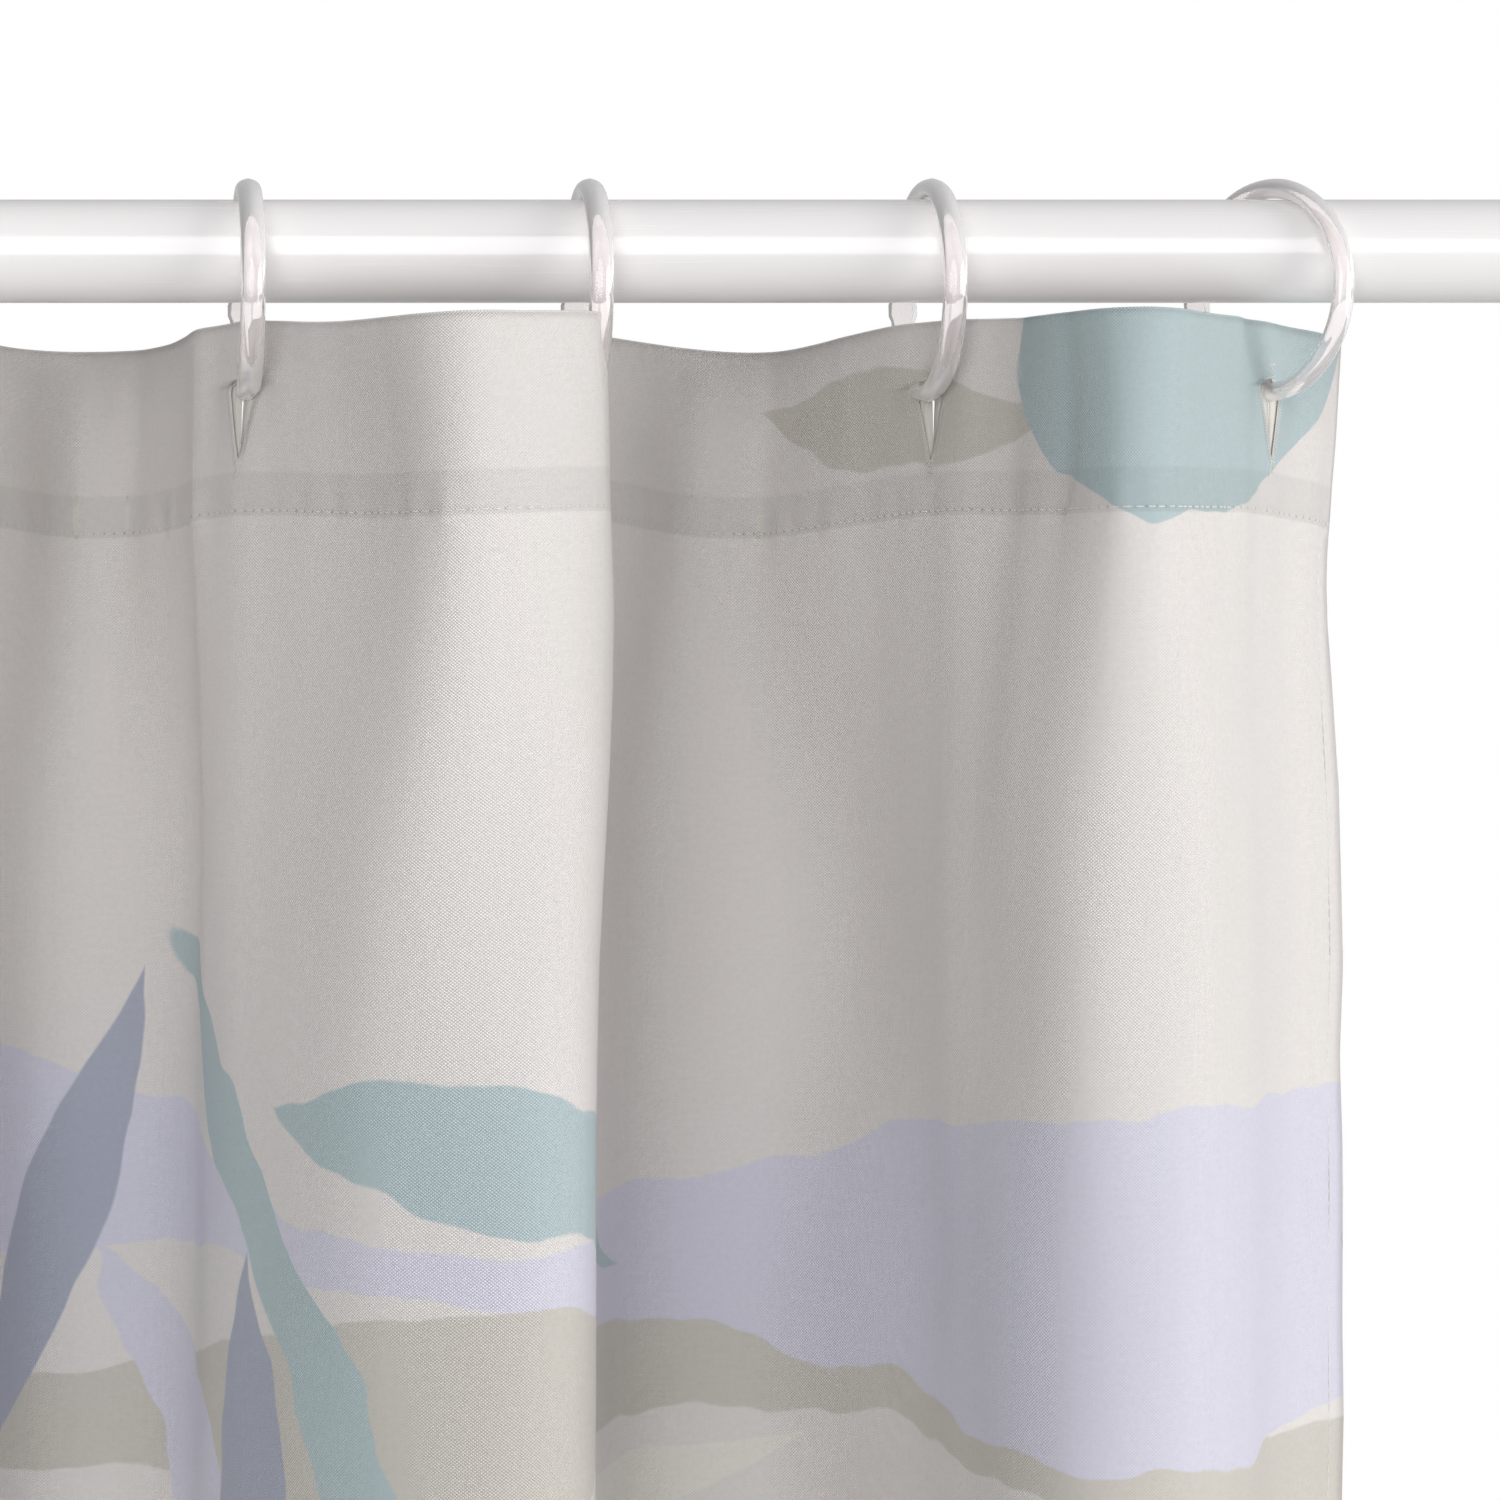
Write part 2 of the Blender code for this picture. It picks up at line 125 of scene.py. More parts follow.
def revolve(name: str, profile: Sequence[tuple[float, float]], sides: int = 96,
            sharp: float = 35.0) -> bpy.types.Object:
    """Turns a closed profile of (x, radius) about the rod's axis into one closed mesh.

    Args:
        name: the piece's name.
        profile: outline points, from the +X end along the outer side and back along the inner one.
        sides: how many steps make the turn.
        sharp: edges that turn by more than this many degrees stay crisp.

    Returns:
        The turned object.
    """
    points: list[tuple[float, float, float]] = []
    rows: list[list[int]] = []
    for x, radius in profile:
        if radius < 1e-6:
            rows.append([len(points)] * sides)
            points.append((x, 0.0, 0.0))
            continue
        rows.append(list(range(len(points), len(points) + sides)))
        for step in range(sides):
            angle = 2 * math.pi * step / sides
            points.append((x, radius * math.cos(angle), radius * math.sin(angle)))
    faces = []
    closed = profile[0][1] > 1e-6 or profile[-1][1] > 1e-6
    pairs = list(zip(rows, rows[1:] + rows[:1])) if closed else list(zip(rows, rows[1:]))
    for near, far in pairs:
        for step in range(sides):
            after = (step + 1) % sides
            corners = [near[step], near[after], far[after], far[step]]
            kept = [c for i, c in enumerate(corners) if c not in corners[:i]]
            if len(kept) > 2:
                faces.append(kept)
    piece = make_piece(name, np.array(points), faces)
    piece.data.set_sharp_from_angle(angle=math.radians(sharp))
    return piece


def rounded(corners: Sequence[tuple[float, float]], radius: float, steps: int = 4) -> list[tuple[float, float]]:
    """Rounds the corners of an outline in (x, radius); its first and last points stay."""
    out: list[tuple[float, float]] = []
    for before, here, after in zip(corners[-1:] + list(corners[:-1]), corners, list(corners[1:]) + corners[:1]):
        to_before = np.subtract(before, here)
        to_after = np.subtract(after, here)
        room = min(np.linalg.norm(to_before), np.linalg.norm(to_after)) / 2
        if here[1] < 1e-6 or room < 1e-7:
            out.append(tuple(here))
            continue
        reach = min(radius, room)
        start = np.asarray(here) + to_before / np.linalg.norm(to_before) * reach
        end = np.asarray(here) + to_after / np.linalg.norm(to_after) * reach
        for step in range(steps + 1):
            share = step / steps
            point = (1 - share) ** 2 * start + 2 * share * (1 - share) * np.asarray(here) + share ** 2 * end
            out.append((float(point[0]), float(point[1])))
    return out


def join(tree: bpy.types.NodeTree, pairs: Sequence[tuple[bpy.types.NodeSocket, bpy.types.NodeSocket]]) -> None:
    """Links each pair of sockets, from an output to an input."""
    for source, target in pairs:
        tree.links.new(source, target)


# --------------------------------------------------------------------------------------------- materials


class NodeSheet:
    """Writes one material's node tree, and wires values together with short calls."""

    def __init__(self, name: str) -> None:
        """Starts an empty material with an output and a Principled shader."""
        self.material = bpy.data.materials.new(name)
        self.material.use_nodes = True
        self.tree = self.material.node_tree
        self.tree.nodes.clear()
        self.output = self.tree.nodes.new("ShaderNodeOutputMaterial")
        self.shader = self.tree.nodes.new("ShaderNodeBsdfPrincipled")
        self.tree.links.new(self.shader.outputs[0], self.output.inputs["Surface"])

    def plug(self, socket: bpy.types.NodeSocket, value: object) -> None:
        """Links a socket to another, or sets its own value."""
        if isinstance(value, bpy.types.NodeSocket):
            self.tree.links.new(value, socket)
        else:
            socket.default_value = value

    def set(self, **values: object) -> None:
        """Sets inputs of the shader by name, with _ for a space."""
        for name, value in values.items():
            self.plug(self.shader.inputs[name.replace("_", " ")], value)

    def math(self, operation: str, *values: object, clamp: bool = False) -> bpy.types.NodeSocket:
        """Adds a Math node and returns its result."""
        node = self.tree.nodes.new("ShaderNodeMath")
        node.operation = operation
        node.use_clamp = clamp
        for socket, value in zip(node.inputs, values):
            self.plug(socket, value)
        return node.outputs[0]

    def ramp(self, value: object, low: object, high: object, start: float = 0.0,
             end: float = 1.0) -> bpy.types.NodeSocket:
        """Maps a value smoothly from low..high onto start..end."""
        node = self.tree.nodes.new("ShaderNodeMapRange")
        node.interpolation_type = "SMOOTHSTEP"
        for name, item in (("Value", value), ("From Min", low), ("From Max", high),
                           ("To Min", start), ("To Max", end)):
            self.plug(node.inputs[name], item)
        return node.outputs["Result"]

    def mix(self, share: object, first: object, second: object, mode: str = "MIX") -> bpy.types.NodeSocket:
        """Mixes two colours."""
        node = self.tree.nodes.new("ShaderNodeMix")
        node.data_type = "RGBA"
        node.blend_type = mode
        self.plug(node.inputs[0], share)
        self.plug(node.inputs[6], first)
        self.plug(node.inputs[7], second)
        return node.outputs[2]

    def noise(self, vector: object, scale: float, detail: float = 2.0,
              roughness: float = 0.5) -> bpy.types.NodeSocket:
        """Adds noise on a vector and returns its value from 0 to 1."""
        node = self.tree.nodes.new("ShaderNodeTexNoise")
        self.plug(node.inputs["Vector"], vector)
        node.inputs["Scale"].default_value = scale
        node.inputs["Detail"].default_value = detail
        node.inputs["Roughness"].default_value = roughness
        return node.outputs[0]

    def stretched(self, vector: object, scale: tuple[float, float, float]) -> bpy.types.NodeSocket:
        """Scales a vector by a Mapping node."""
        node = self.tree.nodes.new("ShaderNodeMapping")
        self.plug(node.inputs["Vector"], vector)
        node.inputs["Scale"].default_value = scale
        return node.outputs[0]

    def cut_map(self) -> tuple[bpy.types.NodeSocket, bpy.types.NodeSocket, bpy.types.NodeSocket]:
        """Returns the cloth's cut coordinates: the vector, across from the right edge, and down from the top."""
        node = self.tree.nodes.new("ShaderNodeUVMap")
        node.uv_map = "cut"
        split = self.tree.nodes.new("ShaderNodeSeparateXYZ")
        self.tree.links.new(node.outputs[0], split.inputs[0])
        return node.outputs[0], split.outputs[0], split.outputs[1]

    def place(self) -> bpy.types.NodeSocket:
        """Returns Object coordinates."""
        return self.tree.nodes.new("ShaderNodeTexCoord").outputs["Object"]

    def bump(self, height: object, strength: float, distance: float) -> None:
        """Feeds a height into the shader's normal."""
        node = self.tree.nodes.new("ShaderNodeBump")
        node.inputs["Strength"].default_value = strength
        node.inputs["Distance"].default_value = distance
        self.plug(node.inputs["Height"], height)
        self.tree.links.new(node.outputs[0], self.shader.inputs["Normal"])


def paint(red: float, green: float, blue: float) -> tuple[float, float, float, float]:
    """Turns a colour as seen, each part from 0 to 255, into the linear values that a shader reads."""
    parts = [((c / 255 + 0.055) / 1.055) ** 2.4 if c > 10 else c / 255 / 12.92 for c in (red, green, blue)]
    return (parts[0], parts[1], parts[2], 1.0)


class Ink(Enum):
    """The print's inks, as linear colours."""

    CREAM = paint(235, 230, 227)
    TEAL = paint(190, 206, 209)
    LAVENDER = paint(224, 222, 236)
    SLATE = paint(180, 184, 199)
    TAUPE = paint(214, 209, 201)
    PEARL = paint(240, 236, 229)


@dataclass(frozen=True)
class Swell:
    """A wavy band of ink across the whole cloth. Lengths are metres on the cut."""

    ink: Ink
    level: float
    swing: float
    length: float
    phase: float
    depth: float
    pinch: float = 0.55

    def inside(self, sheet: NodeSheet, across: object, down: object, _: object) -> bpy.types.NodeSocket:
        """Returns how far inside the band a place lies, in metres."""
        turn = sheet.math("MULTIPLY_ADD", across, 2 * math.pi / self.length, self.phase)
        slow = sheet.math("SINE", turn)
        quick = sheet.math("SINE", sheet.math("MULTIPLY_ADD", turn, 2.3, 1.1))
        middle = sheet.math("MULTIPLY_ADD", slow, self.swing, self.level)
        middle = sheet.math("MULTIPLY_ADD", quick, self.swing * 0.28, middle)
        fat = sheet.math("SINE", sheet.math("MULTIPLY_ADD", turn, 1.37, 0.7))
        half = sheet.math("MULTIPLY_ADD", fat, self.depth / 2 * self.pinch, self.depth / 2)
        away = sheet.math("ABSOLUTE", sheet.math("SUBTRACT", down, middle))
        return sheet.math("SUBTRACT", half, away)


@dataclass(frozen=True)
class Leaf:
    """A plain pointed leaf, or a stem when it is thin. Its place is metres across and down the repeat."""

    ink: Ink
    across: float
    down: float
    angle: float
    half_length: float
    half_width: float
    bend: float = 0.0
    pointed: bool = True

    def inside(self, sheet: NodeSheet, across: object, down: object, place: object) -> bpy.types.NodeSocket:
        """Returns how far inside the leaf a place lies, in metres."""
        node = sheet.tree.nodes.new("ShaderNodeMapping")
        node.vector_type = "TEXTURE"
        sheet.plug(node.inputs["Vector"], place)
        node.inputs["Location"].default_value = (self.across, self.down, 0.0)
        node.inputs["Rotation"].default_value = (0.0, 0.0, math.radians(self.angle))
        node.inputs["Scale"].default_value = (self.half_length, self.half_width, 1.0)
        split = sheet.tree.nodes.new("ShaderNodeSeparateXYZ")
        sheet.tree.links.new(node.outputs[0], split.inputs[0])
        along, side = split.outputs[0], split.outputs[1]
        square = sheet.math("MULTIPLY", along, along)
        bowed = sheet.math("MULTIPLY_ADD", square, self.bend, side)
        width = sheet.math("SUBTRACT", 1.0, square)
        if self.pointed:
            taper = sheet.math("MAXIMUM", sheet.math("MULTIPLY_ADD", along, 0.28, 0.94), 0.3)
            width = sheet.math("MULTIPLY", width, taper)
            gap = sheet.math("SUBTRACT", width, sheet.math("ABSOLUTE", bowed))
        else:
            gap = sheet.math("SUBTRACT", width, sheet.math("MULTIPLY", bowed, bowed))
        return sheet.math("MULTIPLY", gap, self.half_width)


@dataclass(frozen=True)
class WovenPrint:
    """Plain woven polyester, printed on its front."""

    name: str = "woven_print"
    warp_pitch: float = 0.00094
    weft_pitch: float = 0.00078
    printed: bool = True
    hem_depth: float = 0.048
    allowance: float = 0.011
    seam_inset: float = 0.0015
    stitch_pitch: float = 0.0031
    repeat_width: float = 0.640
    repeat_height: float = 0.470
    repeat_rise: float = 0.080

    def print_colour(self, sheet: NodeSheet, vector: object, across: object, down: object) -> bpy.types.NodeSocket:
        """Lays bands, leaves and pebbles over the cream ground, in a half-drop repeat."""
        wobble = sheet.noise(vector, 26.0, 2.0, 0.45)
        sway = sheet.math("MULTIPLY", sheet.math("SUBTRACT", wobble, 0.5), 0.016)
        u, v = sheet.math("ADD", across, sway), sheet.math("ADD", down, sway)
        column = sheet.math("FLOOR", sheet.math("DIVIDE", u, self.repeat_width))
        u_tile = sheet.math("MODULO", u, self.repeat_width)
        raised = sheet.math("ADD", v, self.repeat_rise)
        band_v = sheet.math("SUBTRACT", sheet.math("MODULO", raised, self.repeat_height), self.repeat_rise)
        dropped = sheet.math("MULTIPLY_ADD", column, self.repeat_height / 2, raised)
        v_tile = sheet.math("SUBTRACT", sheet.math("MODULO", dropped, self.repeat_height), self.repeat_rise)
        tile = sheet.tree.nodes.new("ShaderNodeCombineXYZ")
        sheet.plug(tile.inputs[0], u_tile)
        sheet.plug(tile.inputs[1], v_tile)
        colour: object = Ink.CREAM.value
        edge = 0.0005
        for shape in PRINT_SHAPES:
            height = band_v if isinstance(shape, Swell) else v_tile
            mask = sheet.ramp(shape.inside(sheet, u, height, tile.outputs[0]), -edge, edge)
            colour = sheet.mix(mask, colour, shape.ink.value)
        return colour

    def weave(self, sheet: NodeSheet, across: object, down: object) -> bpy.types.NodeSocket:
        """Returns the weave's height, from -1 in its pores to 1 on its crossings."""
        warp = sheet.math("SINE", sheet.math("MULTIPLY", across, 2 * math.pi / self.warp_pitch))
        weft = sheet.math("SINE", sheet.math("MULTIPLY", down, 2 * math.pi / self.weft_pitch))
        return sheet.math("MULTIPLY", warp, weft)

    def shade(self, sheet: NodeSheet, vector: object, across: object, down: object, weave: object,
              uneven: object) -> bpy.types.NodeSocket:
        """Returns how much darker the cloth is painted: painted shade in its pores, over its hem and where layers lie
        on each other, and painted shadow at the needle holes, mixed with random tone from uneven yarn and slubs."""
        slub = sheet.noise(sheet.stretched(vector, (90.0, 1500.0, 1.0)), 1.0, 2.0)
        # Painted shade in the weave's pores and painted light on its crossings: the weave's height darkens or
        # lightens the colour.
        shade = sheet.math("MULTIPLY_ADD", weave, 0.085, 0.960)
        shade = sheet.math("MULTIPLY_ADD", sheet.math("SUBTRACT", uneven, 0.5), 0.14, shade)
        shade = sheet.math("MULTIPLY_ADD", sheet.math("SUBTRACT", slub, 0.5), 0.045, shade)
        # Painted shade: the two-layer header above the seam is drawn darker, standing in for the light that its
        # second layer holds back.
        header = sheet.ramp(down, self.hem_depth - 0.0006, self.hem_depth + 0.0002, 0.955, 1.0)
        # Painted shade: the band where the turned allowance makes three layers is drawn darker still, standing in for
        # the light they hold back.
        fold = self.hem_depth - self.allowance
        into = sheet.ramp(down, fold - 0.0005, fold + 0.0005, 0.0, 1.0)
        out_of = sheet.ramp(down, self.hem_depth - 0.0006, self.hem_depth, 1.0, 0.0)
        triple_layer_painted_shade = sheet.math("MULTIPLY_ADD", sheet.math("MULTIPLY", into, out_of), -0.075, 1.0)
        # Painted shadow: a dark dot is drawn at each needle hole along the top seam.
        seam = sheet.math("ABSOLUTE", sheet.math("SUBTRACT", down, self.hem_depth - self.seam_inset))
        beat = sheet.math("FRACT", sheet.math("DIVIDE", across, self.stitch_pitch))
        hole = sheet.math("ABSOLUTE", sheet.math("SUBTRACT", beat, 0.5))
        needle_hole_painted_shadow = sheet.math("MULTIPLY", sheet.ramp(hole, 0.34, 0.47), sheet.ramp(seam, 0.0001, 0.0005, 1.0, 0.0))
        needle_hole_painted_shadow = sheet.math("MULTIPLY_ADD", needle_hole_painted_shadow, -0.34, 1.0)
        shade = sheet.math("MULTIPLY", sheet.math("MULTIPLY", shade, header), triple_layer_painted_shade)
        return sheet.math("MULTIPLY", shade, needle_hole_painted_shadow)

    def relief(self, sheet: NodeSheet, vector: object, down: object, weave: object,
               uneven: object) -> bpy.types.NodeSocket:
        """Returns the cloth's fine relief in metres: threads, crumples, and puckers along the seam."""
        crumple = sheet.noise(sheet.stretched(vector, (26.0, 8.0, 1.0)), 1.0, 3.0, 0.5)
        height = sheet.math("MULTIPLY_ADD", weave, 0.00016, sheet.math("MULTIPLY", uneven, 0.00020))
        height = sheet.math("MULTIPLY_ADD", crumple, 0.0012, height)
        seam = sheet.math("ABSOLUTE", sheet.math("SUBTRACT", down, self.hem_depth - self.seam_inset))
        near = sheet.ramp(seam, 0.0, 0.013, 1.0, 0.0)
        pucker = sheet.noise(sheet.stretched(vector, (120.0, 22.0, 1.0)), 1.0, 1.0)
        height = sheet.math("MULTIPLY_ADD", sheet.math("MULTIPLY", pucker, near), 0.0011, height)
        return sheet.math("ADD", height, sheet.ramp(seam, 0.0, 0.0012, -0.00022, 0.0))

    def make(self) -> bpy.types.Material:
        """Returns the cloth's material, front or reverse."""
        sheet = NodeSheet(self.name)
        vector, across, down = sheet.cut_map()
        weave = self.weave(sheet, across, down)
        uneven = sheet.noise(vector, 700.0, 3.0, 0.6)
        base = self.print_colour(sheet, vector, across, down) if self.printed else Ink.PEARL.value
        shade = self.shade(sheet, vector, across, down, weave, uneven)
        # The painted shade, painted shadow and random tone from shade() are multiplied into the print as a grey.
        grey = sheet.tree.nodes.new("ShaderNodeCombineColor")
        for socket in grey.inputs[:3]:
            sheet.plug(socket, shade)
        colour = sheet.mix(1.0, base, grey.outputs[0], "MULTIPLY")
        sheet.set(Base_Color=colour, Roughness=0.82, Sheen_Weight=0.12, Sheen_Roughness=0.45)
        sheet.shader.inputs["Specular IOR Level"].default_value = 0.28
        sheet.bump(self.relief(sheet, vector, down, weave, uneven), 1.0, 1.0)
        return sheet.material


# The print: plain bands, leaves and pebbles, laid in this order.
PRINT_SHAPES: list[Swell | Leaf] = [
    Leaf(Ink.TAUPE, 0.205, 0.024, -4.0, 0.062, 0.013, 0.3),
    Swell(Ink.TAUPE, 0.272, 0.016, 0.83, 2.2, 0.034, 0.5),
    Swell(Ink.LAVENDER, 0.222, 0.014, 0.98, 0.15, 0.050, 0.72),
    Leaf(Ink.LAVENDER, 0.545, 0.288, 118.0, 0.070, 0.021, 0.4),
    Leaf(Ink.SLATE, 0.500, 0.305, 96.0, 0.075, 0.024, -0.2),
    Leaf(Ink.SLATE, 0.598, 0.225, 66.0, 0.070, 0.014, 0.35),
    Leaf(Ink.TEAL, 0.395, 0.205, -14.0, 0.092, 0.017, -0.55),
    Leaf(Ink.TEAL, 0.492, 0.225, 128.0, 0.105, 0.011, 0.9, False),
    Leaf(Ink.PEARL, 0.330, 0.300, 12.0, 0.085, 0.013, 0.4),
    Leaf(Ink.TEAL, 0.080, 0.008, 8.0, 0.082, 0.040, 0.12, False),
    Leaf(Ink.SLATE, 0.150, 0.340, -30.0, 0.060, 0.016, 0.4),
    Leaf(Ink.TEAL, 0.210, 0.352, 24.0, 0.070, 0.018, -0.4),
    Leaf(Ink.LAVENDER, 0.420, 0.362, -8.0, 0.050, 0.026, 0.1, False),
]


@dataclass(frozen=True)
class Thread:
    """Spun polyester sewing thread."""

    name: str = "spun_thread"

    def make(self) -> bpy.types.Material:
        """Returns the thread's material, with a fine twist along its length."""
        sheet = NodeSheet(self.name)
        place = sheet.place()
        twist = sheet.noise(sheet.stretched(place, (2600.0, 2600.0, 2600.0)), 1.0, 2.0)
        colour = sheet.mix(twist, paint(198, 194, 189), paint(238, 236, 232))
        sheet.set(Base_Color=colour, Roughness=0.62, Sheen_Weight=0.3)
        sheet.bump(twist, 0.5, 0.0001)
        return sheet.material


@dataclass(frozen=True)
class ClearPlastic:
    """Clear moulded plastic with a faint warm tint and flow lines."""

    name: str = "clear_plastic_moulded"

    def make(self) -> bpy.types.Material:
        """Returns the rings' material."""
        sheet = NodeSheet(self.name)
        place = sheet.place()
        flow = sheet.noise(sheet.stretched(place, (160.0, 160.0, 160.0)), 1.0, 3.0, 0.6)
        rough = sheet.ramp(flow, 0.35, 0.7, 0.05, 0.16)
        sheet.set(Base_Color=paint(252, 246, 246), Roughness=rough, Transmission_Weight=0.80)
        sheet.shader.inputs["IOR"].default_value = 1.46
        sheet.shader.inputs["Coat Weight"].default_value = 0.4
        sheet.shader.inputs["Coat Roughness"].default_value = 0.04
        sheet.bump(flow, 0.35, 0.0003)
        return sheet.material


@dataclass(frozen=True)
class Enamel:
    """Gloss white enamel on steel tube, with a slight ripple and a few fine rubs."""

    name: str = "gloss_enamel"

    def make(self) -> bpy.types.Material:
        """Returns the tubes' material."""
        sheet = NodeSheet(self.name)
        place = sheet.place()
        ripple = sheet.noise(sheet.stretched(place, (18.0, 60.0, 60.0)), 1.0, 2.0)
        rubs = sheet.noise(sheet.stretched(place, (14.0, 700.0, 700.0)), 1.0, 3.0, 0.7)
        rough = sheet.ramp(rubs, 0.35, 0.75, 0.14, 0.30)
        tone = sheet.noise(sheet.stretched(place, (5.0, 30.0, 30.0)), 1.0, 2.0)
        colour = sheet.mix(tone, paint(232, 229, 229), paint(241, 239, 238))
        sheet.set(Base_Color=colour, Roughness=rough)
        sheet.shader.inputs["Coat Weight"].default_value = 0.6
        sheet.shader.inputs["Coat Roughness"].default_value = 0.08
        sheet.bump(ripple, 0.15, 0.0004)
        return sheet.material


@dataclass(frozen=True)
class Moulded:
    """Opaque moulded plastic or rubber with a fine spark-eroded grain."""

    name: str
    colour: tuple[float, float, float, float]
    roughness: float
    grain: float = 0.4

    def make(self) -> bpy.types.Material:
        """Returns the moulding's material."""
        sheet = NodeSheet(self.name)
        place = sheet.place()
        grain = sheet.noise(sheet.stretched(place, (1500.0, 1500.0, 1500.0)), 1.0, 3.0)
        cloud = sheet.noise(sheet.stretched(place, (60.0, 60.0, 60.0)), 1.0, 2.0)
        darker = tuple(c * 0.9 for c in self.colour[:3]) + (1.0,)
        sheet.set(Base_Color=sheet.mix(cloud, darker, self.colour),
                  Roughness=sheet.ramp(grain, 0.3, 0.7, self.roughness - 0.08, self.roughness + 0.1))
        sheet.bump(grain, self.grain, 0.0001)
        return sheet.material


@dataclass(frozen=True)
class ZincPlate:
    """Bright zinc plated steel with turning marks round its axis."""

    name: str = "zinc_plate"

    def make(self) -> bpy.types.Material:
        """Returns the screw's material."""
        sheet = NodeSheet(self.name)
        lines = sheet.noise(sheet.stretched(sheet.place(), (4000.0, 60.0, 60.0)), 1.0, 2.0)
        sheet.set(Base_Color=sheet.mix(lines, paint(176, 178, 182), paint(206, 206, 204)), Metallic=1.0,
                  Roughness=sheet.ramp(lines, 0.3, 0.7, 0.25, 0.42))
        sheet.bump(lines, 0.3, 0.00005)
        return sheet.material


# ------------------------------------------------------------------------------------------- the drape


@dataclass
class Cut:
    """The flat cloth. Places on it are metres across from its right edge and metres down from its top."""

    width: float = 1.800
    length: float = 1.880
    edge_to_buttonhole: float = 0.038
    top_hem: float = 0.048
    allowance: float = 0.011
    bottom_hem: float = 0.025
    side_hem: float = 0.009
    stitch_inset: float = 0.0015
    slit_top: float = 0.0140
    slit_length: float = 0.0200
    thickness: float = 0.0003

    @property
    def seam(self) -> float:
        """The top seam's distance below the top edge."""
        return self.top_hem - self.stitch_inset

    def pitch(self, count: int) -> float:
        """Returns the flat distance between two buttonholes."""
        return (self.width - 2 * self.edge_to_buttonhole) / (count - 1)

    def columns(self, count: int, per_pitch: int, margin: int) -> np.ndarray:
        """Returns places across the cut with whole numbers of columns between buttonholes.

        Args:
            count: how many buttonholes there are.
            per_pitch: columns from one buttonhole to the next.
            margin: columns beyond each end buttonhole.

        Returns:
            The columns, from the right edge to the left one.
        """
        edge, pitch = self.edge_to_buttonhole, self.pitch(count)
        middle = edge + np.arange(per_pitch * (count - 1) + 1) * pitch / per_pitch
        start = np.linspace(0.0, edge, margin + 1)[:-1]
        end = np.linspace(self.width - edge, self.width, margin + 1)[1:]
        return np.concatenate([start, middle, end])


@dataclass
class Hanging:
    """Where the frame's rings hold the cloth."""

    xs: np.ndarray
    turns: np.ndarray
    wire: float
    centre_z: float
    radius: float

    @classmethod
    def from_frame(cls, wire: float = 0.0063) -> "Hanging":
        """Reads the rings' places and turns from their CAD nodes."""
        names = sorted(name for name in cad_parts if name.startswith("ring_"))
        xs, turns = [], []
        for name in names:
            low, high = box_of(name)
            half = (high - low) / 2 - wire / 2
            xs.append((low[0] + high[0]) / 2)
            turns.append(math.atan2(half[0], half[1]))
        low, high = box_of(names[0])
        return cls(np.array(xs), np.array(turns), wire, float((low[2] + high[2]) / 2),
                   float((high[2] - low[2]) / 2 - wire / 2))


